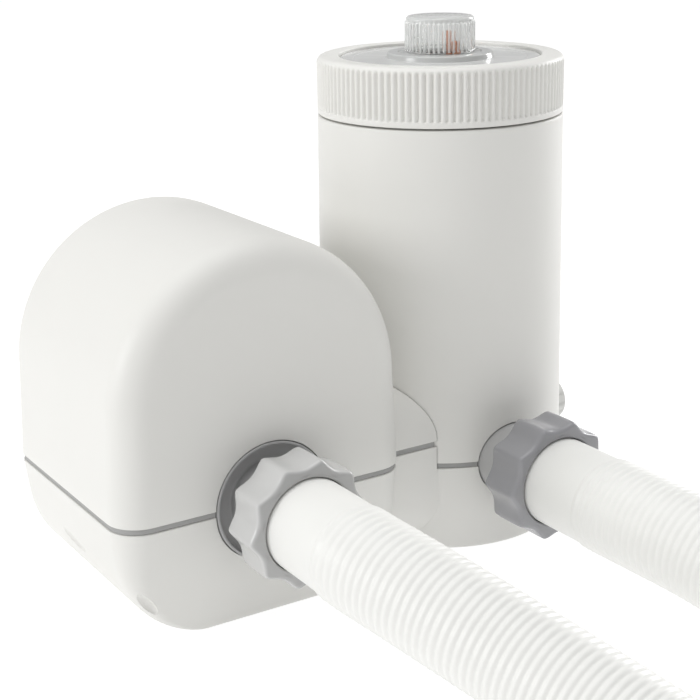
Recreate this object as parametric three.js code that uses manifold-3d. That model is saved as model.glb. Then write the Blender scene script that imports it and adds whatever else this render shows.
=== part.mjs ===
// Salt chlorine generator for a pool: an arched power unit, a round cell canister and the
// bridge between them on one base tray, with two hoses. Millimetres, +Z up.
// The origin is on the floor, on the upright axis of the canister. The power unit lies
// towards -X (left), the hoses leave towards -Y (front), the control panel faces +Y (rear).
import * as THREE from "three";
import { mergeVertices } from "three/addons/utils/BufferGeometryUtils.js";
import Module from "manifold-3d";

// ---- driving dimensions ----
const GAP = 0.3; // clearance between neighbouring pieces
const FIT = 0.4; // looser clearance round inserted pieces
const WALL = 3.2; // moulded wall thickness
const FLOOR_Z = 1; // underside of the base tray
const STAND_Z = FLOOR_Z + WALL + GAP; // underside of parts that stand in the tray
const SEAM_HALF = 1.2; // half the space between tray and covers

// power unit: an arch in XZ, run front to back
const UNIT = {
  x: -145.6, // centre line
  halfSeam: 77.4, // half width at the seam
  halfSpring: 75.2, // half width where the arch starts
  seamZ: 60.9,
  springZ: 110.4,
  front: -70,
  rear: 61,
  frontRadius: 16,
  rearRadius: 11,
};

// part of the tray under the power unit
const BASE = {
  cornerRadius: 4, // front corners in plan, at the floor
  cornerFullZ: 55, // height where the front corners reach the cover's radius
  footRadius: 3, // rounding of front and rear into the underside
  sideRadius: 47, // rounding of the sides into the underside
  sideCentreX: 28.68, // centre of that rounding, from the centre line
  sideTaper: THREE.MathUtils.degToRad(6),
  frontLean: 6.6, // how far the front leans in at the floor
  rearLean: 4,
};

const BRIDGE = { halfDepth: 53.1, top: 93.1, topRadius: 29.5, bottomRadius: 30 };

const CAN = {
  seamZ: 48.3,
  seamRadius: 65.65,
  topRadius: 64,
  floorRadius: 64.6,
  floorChamfer: 1.8,
  top: 221.9,
  neckRadius: 57.6,
  neckBore: 54.2,
  neckTop: 242,
};

const UNIT_TRAY_TOP = UNIT.seamZ - SEAM_HALF;
const CAN_TRAY_TOP = CAN.seamZ - SEAM_HALF;
const UNIT_COVER_Z = UNIT.seamZ + SEAM_HALF;
const CAN_SHELL_Z = CAN.seamZ + SEAM_HALF;

// hose port axes run along Y, at [x, z]
const INLET = [UNIT.x, UNIT.seamZ];
const OUTLET = [0, CAN.seamZ];
const PORT = { radius: 19.2, bore: 15, threadRadius: 24.2, tip: -90 };

// transfer pipe along X, from flow chamber to canister, at [y, z]
const PIPE = { at: [-20, 36], radius: 10.5, bore: 8.2 };
const PIPE_HOLE = PIPE.radius + FIT;

// drain, modelled along +X and then turned about Z towards +Y
const DRAIN = { at: [0, 41], turnDegrees: 10, hole: 5.9, padRadius: 10.5 };

// rear panel opening and what it shares with the bezel, as [from, to]
const PANEL = { x: [-192, -99.2], z: [94, 144], rim: 4.4 };
const BOARD_Y = [46, 47.6];
const GLAND = { at: [-120, 30], radius: 6.9 }; // along Y, at [x, z]

// name, [x, y], radius, segments
const FEET = [
  ["foot_front_left", [-160, -40], 8, 16],
  ["foot_rear_left", [-160, 36], 8, 16],
  ["foot_canister", [0, 0], 40, 40],
];
const SCREWS = [[-185, -50], [-106, -50], [-185, 44], [-106, 44]]; // [x, y]
const SCREW_BOSS_R = 5.6;
const SCREW_BORE_R = 2.4;

// ---- materials ----
const MATERIALS = {
  case: { color: 0xe9e8e3, roughness: 0.55 },
  cellCase: { color: 0xe9e8e3, roughness: 0.5 },
  seal: { color: 0x84847e, roughness: 0.8 },
  slipWasher: { color: 0xd8d8d4, roughness: 0.35 },
  lid: { color: 0xcfd3d0, roughness: 0.15 },
  ventCap: { color: 0xcfd3d0, roughness: 0.1 },
  ventCapSeal: { color: 0xdcdcd8, roughness: 0.6 },
  rubber: { color: 0x2d2d2f, roughness: 0.7 },
  terminalBlock: { color: 0x4a3f3c, roughness: 0.5 },
  copper: { color: 0xb06a42, roughness: 0.3, metalness: 1 },
  cellPlastic: { color: 0xd9d9d6, roughness: 0.5 },
  electrode: { color: 0x8b8d90, roughness: 0.45, metalness: 0.8 },
  busBar: { color: 0x8b8d90, roughness: 0.4, metalness: 0.8 },
  socket: { color: 0xcfcfca, roughness: 0.55 },
  inletPort: { color: 0x9b9b9d, roughness: 0.5 },
  inletNut: { color: 0x9b9b9d, roughness: 0.45 },
  outletPort: { color: 0x7c7c84, roughness: 0.5 },
  outletNut: { color: 0x7c7c84, roughness: 0.45 },
  hose: { color: 0xf3f2ec, roughness: 0.6 },
  chamber: { color: 0xd2d3d0, roughness: 0.5 },
  pin: { color: 0xa9abae, roughness: 0.3, metalness: 1 },
  screw: { color: 0xa9abae, roughness: 0.35, metalness: 1 },
  paddle: { color: 0xe0e0dc, roughness: 0.5 },
  sensor: { color: 0x1c1c1e, roughness: 0.5 },
  cellLead: { color: 0x1c1c1e, roughness: 0.6 },
  iron: { color: 0x5b5e62, roughness: 0.5, metalness: 0.6 },
  winding: { color: 0xa5552c, roughness: 0.4, metalness: 0.3 },
  board: { color: 0x2f6b45, roughness: 0.5 },
  heatSink: { color: 0x9a9da0, roughness: 0.35, metalness: 0.9 },
  bezel: { color: 0x8a8b8f, roughness: 0.4 },
  button: { color: 0xd6d6d2, roughness: 0.45 },
  lens: { color: 0x39424a, roughness: 0.15 },
  gland: { color: 0x6a6b6e, roughness: 0.5 },
  mainsCord: { color: 0xc9c9c6, roughness: 0.6 },
  foot: { color: 0x55565a, roughness: 0.85 },
};

// ---- solids ----
const wasm = await Module();
wasm.setup();

const solid = (geometry) => {
  const loose = geometry.index ? geometry.toNonIndexed() : geometry;
  const bare = new THREE.BufferGeometry().setAttribute(
    "position",
    loose.getAttribute("position").clone(),
  );
  const merged = mergeVertices(bare, 1e-4);
  return new wasm.Manifold(
    new wasm.Mesh({
      numProp: 3,
      vertProperties: merged.attributes.position.array,
      triVerts: new Uint32Array(merged.index.array),
    }),
  );
};

const geometryOf = (shape) => {
  const { numVert, numProp, vertProperties, triVerts } = shape.getMesh();
  const positions = new Float32Array(numVert * 3);
  for (let i = 0; i < numVert; i++)
    positions.set(vertProperties.subarray(i * numProp, i * numProp + 3), i * 3);
  const geometry = new THREE.BufferGeometry();
  geometry.setAttribute("position", new THREE.BufferAttribute(positions, 3));
  geometry.setIndex(new THREE.BufferAttribute(new Uint32Array(triVerts), 1));
  return geometry;
};

const cut = (body, ...tools) => tools.reduce((rest, tool) => rest.subtract(tool), body);
const join = (body, ...more) => more.reduce((sum, part) => sum.add(part), body);

// spans are [from, to]
const around = (centre, half) => [centre - half, centre + half];
const grow = ([from, to], by) => [from - by, to + by];
const middle = ([from, to]) => (from + to) / 2;
const sizeOf = ([from, to]) => to - from;
const vectors = (points) => points.map((point) => new THREE.Vector3(...point));

// Turns a flat triangle list so that its faces point out.
const facingOut = (triangles, pointAt) => {
  let volume = 0;
  for (let i = 0; i < triangles.length; i += 3) {
    const [a, b, c] = triangles.slice(i, i + 3).map(pointAt);
    volume += a.dot(b.clone().cross(c));
  }
  if (volume < 0)
    for (let i = 0; i < triangles.length; i += 3)
      [triangles[i + 1], triangles[i + 2]] = [triangles[i + 2], triangles[i + 1]];
  return triangles;
};

// A solid skinned over equal-length rings of points, closed with a fan at each end.
const loft = (rings) => {
  const count = rings[0].length;
  const points = rings.flat();
  const centre = (ring) =>
    ring.reduce((sum, p) => sum.add(p), new THREE.Vector3()).divideScalar(count);
  const startCentre = points.push(centre(rings[0])) - 1;
  const endCentre = points.push(centre(rings[rings.length - 1])) - 1;
  const last = (rings.length - 1) * count;
  const triangles = [];
  for (let start = 0; start < last; start += count)
    for (let i = 0; i < count; i++) {
      const a = start + i;
      const b = start + ((i + 1) % count);
      triangles.push(a, b, b + count, a, b + count, a + count);
    }
  for (let i = 0; i < count; i++) {
    const j = (i + 1) % count;
    triangles.push(startCentre, j, i, endCentre, last + i, last + j);
  }
  const geometry = new THREE.BufferGeometry().setFromPoints(points);
  geometry.setIndex(facingOut(triangles, (i) => points[i]));
  return solid(geometry);
};

const box = (xs, ys, zs) =>
  solid(
    new THREE.BoxGeometry(sizeOf(xs), sizeOf(ys), sizeOf(zs)).translate(
      middle(xs),
      middle(ys),
      middle(zs),
    ),
  );

// Cylinders along each axis: centre in the other two axes, radius, span, segments.
const cylinder = (radius, span, segments) =>
  new THREE.CylinderGeometry(radius, radius, sizeOf(span), segments);
const cylX = ([y, z], radius, xs, segments) =>
  solid(cylinder(radius, xs, segments).rotateZ(-Math.PI / 2).translate(middle(xs), y, z));
const cylY = ([x, z], radius, ys, segments) =>
  solid(cylinder(radius, ys, segments).translate(x, middle(ys), z));
const cylZ = ([x, y], radius, zs, segments) =>
  solid(cylinder(radius, zs, segments).rotateX(Math.PI / 2).translate(x, y, middle(zs)));

// A geometry turned about Z from [radius, z] points. The profile starts and ends on the
// axis, or closes on itself.
const turned = (profile, segments = 36) => {
  const points = profile.map(([radius, z]) => new THREE.Vector2(radius, z));
  const onAxis = points[0].x === 0 && points[points.length - 1].x === 0;
  if (!onAxis) points.push(points[0].clone());
  const lathe = new THREE.LatheGeometry(points, segments).rotateX(Math.PI / 2);
  lathe.deleteAttribute("normal");
  lathe.deleteAttribute("uv");
  const merged = mergeVertices(lathe, 1e-4);
  // drop the faces that collapsed on the axis
  const triangles = [];
  for (let i = 0; i < merged.index.count; i += 3) {
    const [a, b, c] = merged.index.array.slice(i, i + 3);
    if (a !== b && b !== c && a !== c) triangles.push(a, b, c);
  }
  const { position } = merged.attributes;
  const pointAt = (i) => new THREE.Vector3().fromBufferAttribute(position, i);
  merged.setIndex(facingOut(triangles, pointAt));
  return merged;
};

const group = new THREE.Group();
const add = (name, shape, material, parent = group) => {
  const geometry = shape.isBufferGeometry ? shape : geometryOf(shape);
  const mesh = new THREE.Mesh(geometry, new THREE.MeshStandardMaterial(material));
  mesh.name = name;
  parent.add(mesh);
};

// ---- shared sections ----
// Arch outline in XZ, drawn in by skin all round except at its flat foot footZ.
const ARCH_STEPS = 12;
const arch = (skin, y, footZ) => {
  const radius = UNIT.halfSpring - skin;
  const spread = UNIT.halfSeam - UNIT.halfSpring;
  const half =
    UNIT.halfSpring + (spread * (UNIT.springZ - footZ)) / (UNIT.springZ - UNIT.seamZ) - skin;
  const points = [[UNIT.x - half, y, footZ]];
  for (let i = 0; i <= ARCH_STEPS; i++) {
    const angle = Math.PI - (Math.PI * i) / ARCH_STEPS;
    points.push([
      UNIT.x + radius * Math.cos(angle),
      y,
      UNIT.springZ + radius * Math.sin(angle),
    ]);
  }
  points.push([UNIT.x + half, y, footZ]);
  return vectors(points);
};

// The arch run front to back, with both end edges rounded.
const archSolid = (skin, footZ, steps) => {
  const roundedEdge = (radius, faceY, inward) =>
    Array.from({ length: steps + 1 }, (_, i) => {
      const angle = (Math.PI / 2) * (i / steps);
      const y = faceY + inward * radius * (1 - Math.cos(angle));
      return arch(skin + radius * (1 - Math.sin(angle)), y, footZ);
    });
  return loft([
    ...roundedEdge(UNIT.frontRadius - skin, UNIT.front + skin, 1),
    ...roundedEdge(UNIT.rearRadius - skin, UNIT.rear - skin, -1).reverse(),
  ]);
};

// Rounded rectangle as [u, v] points, with one radius at its low v side and one at its high.
const roundedRect = ([u0, u1], [v0, v1], lowRadius, highRadius, steps) => {
  const corners = [
    [u1 - highRadius, v1 - highRadius, highRadius],
    [u0 + highRadius, v1 - highRadius, highRadius],
    [u0 + lowRadius, v0 + lowRadius, lowRadius],
    [u1 - lowRadius, v0 + lowRadius, lowRadius],
  ];
  return corners.flatMap(([u, v, radius], quarter) =>
    Array.from({ length: steps + 1 }, (_, i) => {
      const angle = (Math.PI / 2) * (quarter + i / steps);
      return [u + radius * Math.cos(angle), v + radius * Math.sin(angle)];
    }),
  );
};
const planRing = (xs, ys, frontRadius, rearRadius, z) =>
  vectors(roundedRect(xs, ys, frontRadius, rearRadius, 3).map(([x, y]) => [x, y, z]));

// Bridge section in YZ, run from x to x.
const bridgeSolid = (skin, xs) => {
  const section = roundedRect(
    around(0, BRIDGE.halfDepth - skin),
    [FLOOR_Z + skin, BRIDGE.top - skin],
    BRIDGE.bottomRadius - skin,
    BRIDGE.topRadius - skin,
    4,
  );
  return loft(xs.map((x) => vectors(section.map(([y, z]) => [x, y, z]))));
};

// The tray's part under the power unit, as plan rings at the given heights.
const baseHalfWidth = (z) => {
  const { sideRadius, sideCentreX, sideTaper } = BASE;
  const arcTop = sideRadius * (1 - Math.sin(sideTaper));
  if (z >= arcTop) return UNIT.halfSeam - (UNIT.seamZ - z) * Math.tan(sideTaper);
  return sideCentreX + Math.sqrt(sideRadius ** 2 - (sideRadius - z) ** 2);
};
const footInset = (z) => {
  const radius = BASE.footRadius;
  return z < radius ? radius - Math.sqrt(radius * radius - (radius - z) ** 2) : 0;
};
const baseSolid = (skin, heights) =>
  loft(
    heights.map((z) => {
      const outerZ = Math.max(z - skin, 0.2); // height on the outer face that this ring follows
      const depthShare = (UNIT.seamZ - outerZ) / UNIT.seamZ;
      const inset = footInset(outerZ) + skin;
      const cornerShare = Math.min(outerZ / BASE.cornerFullZ, 1);
      const corner = BASE.cornerRadius + (UNIT.frontRadius - BASE.cornerRadius) * cornerShare;
      return planRing(
        around(UNIT.x, baseHalfWidth(outerZ) - skin),
        [
          UNIT.front + BASE.frontLean * depthShare + inset,
          UNIT.rear - BASE.rearLean * depthShare - inset,
        ],
        corner - skin,
        UNIT.rearRadius - skin,
        z,
      );
    }),
  );

// The tray's part under the canister; only the outer face has a chamfer at the floor.
const canBase = (skin, z0, z1) =>
  solid(
    turned([
      [0, z0],
      [CAN.floorRadius - skin - (skin ? 0 : CAN.floorChamfer), z0],
      [CAN.floorRadius - skin, z0 + CAN.floorChamfer],
      [CAN.seamRadius - skin, z1],
      [0, z1],
    ]),
  );

// Long rounded scoop: centre, direction of its length, half length, radius.
const scoop = (centre, along, halfLength, radius) => {
  const turn = new THREE.Quaternion().setFromUnitVectors(
    new THREE.Vector3(0, 0, 1),
    new THREE.Vector3(...along).normalize(),
  );
  const place = new THREE.Matrix4().compose(
    new THREE.Vector3(...centre),
    turn,
    new THREE.Vector3(radius, radius, halfLength),
  );
  return wasm.Manifold.sphere(1, 16).transform(place.elements);
};

// ---- shared cutters ----
const drainCylinder = (radius, xs, segments) =>
  cylX(DRAIN.at, radius, xs, segments).rotate(0, 0, DRAIN.turnDegrees);
const drainHole = drainCylinder(DRAIN.hole, [50, 90], 20);
const inletOpening = cylY(INLET, 30, [-90, -50], 32);
const outletOpening = cylY(OUTLET, PORT.radius + 0.65, [-80, -50], 24);
const canClearance = CAN.seamRadius + 0.35;

// ---- base tray: one moulding under power unit, bridge and canister ----
const baseTray = () => {
  const outerHeights = [FLOOR_Z, 2.4, 5, 10, 18, 30, 44.3, UNIT_TRAY_TOP];
  const innerHeights = [FLOOR_Z + WALL, 7, 12, 20, 32, 46, 64];
  const bridgeAbove = box([-200, 0], [-80, 80], [UNIT_TRAY_TOP, 120]);
  const padAbove = box([40, 100], [-40, 60], [CAN_TRAY_TOP, 80]);
  const outside = join(
    baseSolid(0, outerHeights),
    bridgeSolid(0, [-120, -30]).subtract(bridgeAbove),
    canBase(0, FLOOR_Z, CAN_TRAY_TOP),
    drainCylinder(DRAIN.padRadius, [58, 76], 24).subtract(padAbove),
  );
  const hollow = cut(
    outside,
    cylZ([0, 0], canClearance, [CAN_TRAY_TOP, 120], 40), // room for the canister shell
    baseSolid(WALL, innerHeights),
    bridgeSolid(WALL, [-112, -40]).subtract(cylZ([0, 0], CAN.seamRadius, [-10, 150], 40)),
    canBase(WALL, FLOOR_Z + WALL, 90),
  );
  const bossed = join(
    hollow,
    ...SCREWS.map((at) => cylZ(at, SCREW_BOSS_R, [3.2, UNIT_TRAY_TOP], 12)),
  );
  return cut(
    bossed,
    ...SCREWS.flatMap((at) => [
      cylZ(at, 4.8, [-2, 9], 12), // head recess
      cylZ(at, SCREW_BORE_R, [8, 70], 10),
    ]),
    ...FEET.map(([, at, radius, segments]) => cylZ(at, radius + 0.5, [-2, 1.8], segments)),
    inletOpening,
    outletOpening,
    drainHole,
    cylX(PIPE.at, PIPE_HOLE, [-75, -45], 24),
    cylX([9.5, 13], 2.9, [-75, -50], 12), // cell lead
    cylY(GLAND.at, GLAND.radius + FIT, [50, 75], 20),
    // two scoops in the lower left rounding
    scoop([-221.1, -4.5, 33.7], [0, 27.7, 4], 16, 3.2),
    scoop([-211.0, -65.5, 22.4], [10, -0.8, -13.2], 8.6, 3.3),
  );
};
add("base_tray", baseTray(), MATERIALS.case);

// ---- power unit cover ----
const powerCover = () => {
  const bossTop = 68;
  const rearAnchorY = 58.5; // inside the rear wall
  const boardStuds = [[-188, 77], [-104, 77], [-188, 146], [-104, 146]]; // [x, z]
  let cover = archSolid(0, UNIT_COVER_Z, 4).subtract(archSolid(WALL, UNIT_COVER_Z - 6, 3));
  // screw bosses, each with a rib to the nearer end wall
  for (const [x, y] of SCREWS)
    cover = join(
      cover,
      cylZ([x, y], SCREW_BOSS_R, [UNIT_COVER_Z, bossTop], 12),
      box(around(x, 1.5), y < 0 ? [-68, y] : [y, rearAnchorY], [UNIT_COVER_Z, bossTop]),
    );
  cover = cut(cover, ...SCREWS.map((at) => cylZ(at, SCREW_BORE_R, [50, 67], 10)));
  cover = join(
    cover,
    ...boardStuds.map((at) => cylY(at, 3.5, [BOARD_Y[1] + GAP, rearAnchorY], 12)),
  );
  const panelWindow = box(grow(PANEL.x, FIT - PANEL.rim), [50, 70], grow(PANEL.z, FIT - PANEL.rim));
  return cut(cover, inletOpening, panelWindow);
};
add("power_cover", powerCover(), MATERIALS.case);

// ---- bridge cover ----
const bridgeCover = () =>
  cut(
    bridgeSolid(0, [-76, -30]),
    bridgeSolid(WALL, [-80, -25]),
    box([-90, 0], [-80, 80], [-10, UNIT_COVER_Z]),
    cylZ([0, 0], canClearance, [-10, 150], 48),
    loft([arch(-GAP, -80, 40), arch(-GAP, 80, 40)]), // room for the power unit
  );
add("bridge_cover", bridgeCover(), MATERIALS.case);

// ---- canister upper shell with its neck ----
const canisterShell = () => {
  const radiusAt = (z) =>
    CAN.seamRadius +
    ((CAN.topRadius - CAN.seamRadius) * (z - CAN.seamZ)) / (CAN.top - CAN.seamZ);
  const shell = turned([
    [radiusAt(CAN_SHELL_Z), CAN_SHELL_Z],
    [CAN.topRadius, CAN.top],
    [CAN.neckRadius, CAN.top],
    [CAN.neckRadius, CAN.neckTop],
    [CAN.neckBore, CAN.neckTop],
    [CAN.neckBore, 219],
    [radiusAt(212) - WALL, 210],
    [radiusAt(CAN_SHELL_Z) - WALL, CAN_SHELL_Z],
  ]);
  return cut(
    solid(shell),
    outletOpening,
    drainCylinder(DRAIN.padRadius + FIT, [58, 90], 24),
  );
};
add("canister_shell", canisterShell(), MATERIALS.cellCase);

// ---- seam seals ----
const SEAL = { half: 0.9, outerInset: 0.9, innerInset: 2.9 }; // insets from the outer faces

const caseSeal = () => {
  const plate = (inset, zs) =>
    loft(
      zs.map((z) =>
        planRing(
          around(UNIT.x, UNIT.halfSeam - inset),
          [UNIT.front + inset, UNIT.rear - inset],
          UNIT.frontRadius - inset,
          UNIT.rearRadius - inset,
          z,
        ),
      ),
    );
  const zs = around(UNIT.seamZ, SEAL.half);
  const outerY = BRIDGE.halfDepth - SEAL.outerInset;
  const innerY = BRIDGE.halfDepth - SEAL.innerInset;
  const ring = plate(SEAL.outerInset, zs).subtract(
    plate(SEAL.innerInset, around(UNIT.seamZ, 4)),
  );
  return cut(
    join(ring, box([-72, -30], [-outerY, -innerY], zs), box([-72, -30], [innerY, outerY], zs)),
    cylZ([0, 0], CAN.seamRadius + 0.6, [0, 120], 48),
    cylY(INLET, 30.2, [-90, -50], 32),
  );
};
add("case_seal", caseSeal(), MATERIALS.seal);

// Profile of a square-cut ring.
const ringProfile = (innerRadius, outerRadius, [z0, z1]) => [
  [innerRadius, z0],
  [outerRadius, z0],
  [outerRadius, z1],
  [innerRadius, z1],
];
add(
  "canister_seal",
  cut(
    solid(turned(ringProfile(62.7, 64.8, around(CAN.seamZ, SEAL.half)))),
    cylY(OUTLET, PORT.radius + 0.9, [-80, -50], 24),
    drainHole,
  ),
  MATERIALS.seal,
);

// ---- collar, slip washer, lid and its seal ----
const COLLAR = {
  radius: 64,
  chamfer: 3,
  bottom: 222.9,
  top: 252,
  lipRadius: 52.6,
  lipZ: 248.4,
  bore: 58.2,
};
const LID = {
  radius: 57.2,
  faceRadius: 52.1,
  faceZ: 250.5,
  bossRadius: 26.9,
  bossZ: 253,
  bossChamfer: 0.8,
};
const TERMINAL_BLOCK = { radius: 12, zs: [243, 250] };
const lidBore = TERMINAL_BLOCK.radius + GAP;

add(
  "collar",
  turned([
    [COLLAR.radius, COLLAR.bottom],
    [COLLAR.radius, COLLAR.top - COLLAR.chamfer],
    [COLLAR.radius - COLLAR.chamfer, COLLAR.top],
    [COLLAR.lipRadius, COLLAR.top],
    [COLLAR.lipRadius, COLLAR.lipZ],
    [COLLAR.bore, COLLAR.lipZ],
    [COLLAR.bore, COLLAR.bottom],
  ]),
  MATERIALS.cellCase,
);
add("slip_washer", turned(ringProfile(53.2, 57.4, [247.5, 248.1]), 28), MATERIALS.slipWasher);

const lidProfile = [
  [lidBore, 243],
  [50.5, 243], [50.5, 239], [53.5, 239], [53.5, 244.6], // skirt
  [LID.radius, 244.6],
  [LID.radius, 247.2],
  [LID.faceRadius, 247.2],
  [LID.faceRadius, LID.faceZ],
  [LID.bossRadius, LID.faceZ],
  [LID.bossRadius, LID.bossZ - LID.bossChamfer],
  [LID.bossRadius - LID.bossChamfer, LID.bossZ],
  [15.6, LID.bossZ],
  [15.6, 260], [13.2, 260], [13.2, 252], // spigot inside the vent cap
  [lidBore, 252],
];
add("lid", solid(turned(lidProfile, 28)), MATERIALS.lid);
add("lid_o_ring", turned(ringProfile(54.5, 56.7, [242.3, 244.3]), 28), MATERIALS.rubber);

// ---- vent cap over the terminals ----
const CAP = { radius: 18.2, bottom: 253.4, top: 271, bore: 16, innerBore: 13 };
add(
  "vent_cap",
  turned(
    [
      [0, CAP.top],
      [CAP.radius - 1.6, CAP.top],
      [CAP.radius, CAP.top - 2.6],
      [CAP.radius, CAP.bottom],
      [CAP.bore, CAP.bottom],
      [CAP.bore, 261.8],
      [CAP.innerBore, 261.8],
      [CAP.innerBore, 268.6],
      [0, 268.6],
    ],
    28,
  ),
  MATERIALS.ventCap,
);
add("vent_cap_seal", turned(ringProfile(13.4, 15.4, [260.3, 261.5]), 20), MATERIALS.ventCapSeal);
add(
  "terminal_block",
  cylZ([0, 0], TERMINAL_BLOCK.radius, TERMINAL_BLOCK.zs, 32),
  MATERIALS.terminalBlock,
);

const BLADE = {
  half: 1.7, // half width
  tipHalf: 0.9,
  chamfer: 0.8,
  thickness: 1.4,
  bottom: TERMINAL_BLOCK.zs[1] + GAP,
  turn: THREE.MathUtils.degToRad(-31.8),
};
const terminalBlade = (x, y, top) => {
  const outline = [
    [-BLADE.half, BLADE.bottom],
    [BLADE.half, BLADE.bottom],
    [BLADE.half, top - BLADE.chamfer],
    [BLADE.tipHalf, top],
    [-BLADE.tipHalf, top],
    [-BLADE.half, top - BLADE.chamfer],
  ].map((point) => new THREE.Vector2(...point));
  return solid(
    new THREE.ExtrudeGeometry(new THREE.Shape(outline), {
      depth: BLADE.thickness,
      bevelEnabled: false,
    })
      .rotateX(Math.PI / 2)
      .translate(0, BLADE.thickness / 2, 0)
      .rotateZ(BLADE.turn)
      .translate(x, y, 0),
  );
};
add("terminal_blade_a", terminalBlade(2.9, -4.2, 263.7), MATERIALS.copper);
add("terminal_blade_b", terminalBlade(7.0, -5.6, 258.2), MATERIALS.copper);

// ---- electrolytic cell cassette below the lid ----
const CELL = {
  radius: 48,
  topPlate: [222.4, 226.2],
  bottomPlate: [75.6, 79.6],
  electrodeY: [-21, -7, 7, 21],
  tabX: 22, // tabs alternate between -X and +X
  tabTop: 231,
  rodX: 37,
};
const tabSide = (i) => (i % 2 ? 1 : -1);

const cellPlate = (plateZ, cutZ) =>
  cut(
    cylZ([0, 0], CELL.radius, plateZ, 28),
    ...[-1, 1].map((side) => cylZ([CELL.rodX * side, 0], 2.9, cutZ, 12)),
  );
const topCutZ = [200, 240];
const bottomCutZ = [60, 100];
const tabSlots = CELL.electrodeY.map((y, i) =>
  box(around(tabSide(i) * CELL.tabX, 5), around(y, 1.3), topCutZ),
);
add(
  "cell_top_plate",
  cut(cellPlate(CELL.topPlate, topCutZ), ...tabSlots, cylZ([0, 0], 4.5, topCutZ, 16)),
  MATERIALS.cellPlastic,
);
add(
  "cell_bottom_plate",
  cut(cellPlate(CELL.bottomPlate, bottomCutZ), cylZ([0, 0], 22, bottomCutZ, 20)),
  MATERIALS.cellPlastic,
);

CELL.electrodeY.forEach((y, i) => {
  const ys = around(y, 0.75);
  const plate = box([-30, 30], ys, [CELL.bottomPlate[1] + GAP, CELL.topPlate[0] - GAP]);
  const tab = box(around(tabSide(i) * CELL.tabX, 4), ys, [221, CELL.tabTop]);
  add(`electrode_plate_${i + 1}`, join(plate, tab), MATERIALS.electrode);
});

// side rod, beam over the tabs, cross arm, riser to the terminal block
const busBar = (side) =>
  join(
    cylZ([CELL.rodX * side, 0], 2.5, [18, 236], 8),
    box(around(side * CELL.tabX, 3), [-23, 23], [CELL.tabTop + GAP, 235]),
    box(side < 0 ? [-39, -5.5] : [5.5, 39], [-2.4, 2.4], [233, 236.6]),
    cylZ([8 * side, 0], 2.4, [234, TERMINAL_BLOCK.zs[0] - GAP], 8),
  );
add("bus_bar_a", busBar(-1), MATERIALS.busBar);
add("bus_bar_b", busBar(1), MATERIALS.busBar);

// contact socket on the canister floor
add(
  "contact_socket",
  cut(
    box([-44, 44], [-6, 6], [STAND_Z, 30]),
    ...[-1, 1].map((side) => cylZ([CELL.rodX * side, 0], 3.1, [15, 40], 12)),
  ),
  MATERIALS.socket,
);

// ---- transfer pipe ----
add(
  "transfer_pipe",
  cylX(PIPE.at, PIPE.radius, [-126.5, -46], 20).subtract(
    cylX(PIPE.at, PIPE.bore, [-130, -40], 16),
  ),
  MATERIALS.cellPlastic,
);
for (const [name, x] of [
  ["pipe_o_ring_inlet", -122.6],
  ["pipe_o_ring_canister", -51.6],
])
  add(
    name,
    cylX(PIPE.at, 13.1, [x, x + 2], 20).subtract(
      cylX(PIPE.at, PIPE.radius + 0.35, [x - 1, x + 3], 20),
    ),
    MATERIALS.rubber,
  );

// ---- hose ports ----
// The bore and thread are common; flange lists the rest of the profile as [radius, y].
const portSolid = ([x, z], rearY, flange) => {
  const profile = [
    [PORT.bore, rearY],
    [PORT.bore, PORT.tip],
    [PORT.threadRadius, PORT.tip],
    [PORT.threadRadius, -80],
    [PORT.radius, -78],
    ...flange,
  ];
  // turned() stands on Z; the quarter turn sends +Z to -Y
  const upright = turned(profile.map(([radius, y]) => [radius, -y]), 28);
  return solid(upright.rotateX(Math.PI / 2).translate(x, 0, z));
};
const inletFlange = [[PORT.radius, -64], [28.2, -64], [28.2, -69.2], [29.5, -69.2], [29.5, -59]];
const outletFlange = [[PORT.radius, -57], [23, -57], [23, -54]];
add("inlet_port", portSolid(INLET, -59, inletFlange), MATERIALS.inletPort);
add("outlet_port", portSolid(OUTLET, -54, outletFlange), MATERIALS.outletPort);

// lobed union nuts, outline in polar form
const NUT = {
  front: -105.2,
  length: 23.2,
  tipRadius: 31.1,
  valleyRadius: 28,
  lobes: 10,
  stepsPerLobe: 3,
  bore: 24.9,
  mouth: 22.9,
};
const nutSolid = ([portX, portZ], phaseDegrees) => {
  const count = NUT.lobes * NUT.stepsPerLobe;
  const phase = THREE.MathUtils.degToRad(phaseDegrees);
  const outline = Array.from({ length: count }, (_, i) => {
    const angle = phase + (2 * Math.PI * i) / count;
    const dip = Math.abs(Math.sin((Math.PI * i) / NUT.stepsPerLobe)); // 0 on a lobe tip
    const radius = NUT.tipRadius - (NUT.tipRadius - NUT.valleyRadius) * Math.pow(dip, 0.8);
    return [Math.cos(angle) * radius, Math.sin(angle) * radius];
  });
  const rear = NUT.front + NUT.length;
  const stations = [
    // y, scale of the outline
    [NUT.front, 0.965],
    [NUT.front + 1.2, 1],
    [rear - 1.2, 0.985],
    [rear, 0.95],
  ];
  const body = loft(
    stations.map(([y, scale]) =>
      vectors(outline.map(([x, z]) => [portX + x * scale, y, portZ + z * scale])),
    ),
  );
  return cut(
    body,
    cylY([portX, portZ], NUT.bore + 0.2, [-96.3, -60], 24),
    cylY([portX, portZ], NUT.mouth + 0.1, [-120, -90], 24),
  );
};
add("inlet_nut", nutSolid(INLET, 5), MATERIALS.inletNut);
add("outlet_nut", nutSolid(OUTLET, 1.9), MATERIALS.outletNut);

const portWasher = (port) =>
  cylY(port, 22.4, [PORT.tip - GAP - 2, PORT.tip - GAP], 24).subtract(
    cylY(port, 15.4, [-100, -80], 24),
  );
add("inlet_washer", portWasher(INLET), MATERIALS.rubber);
add("outlet_washer", portWasher(OUTLET), MATERIALS.rubber);

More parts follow.
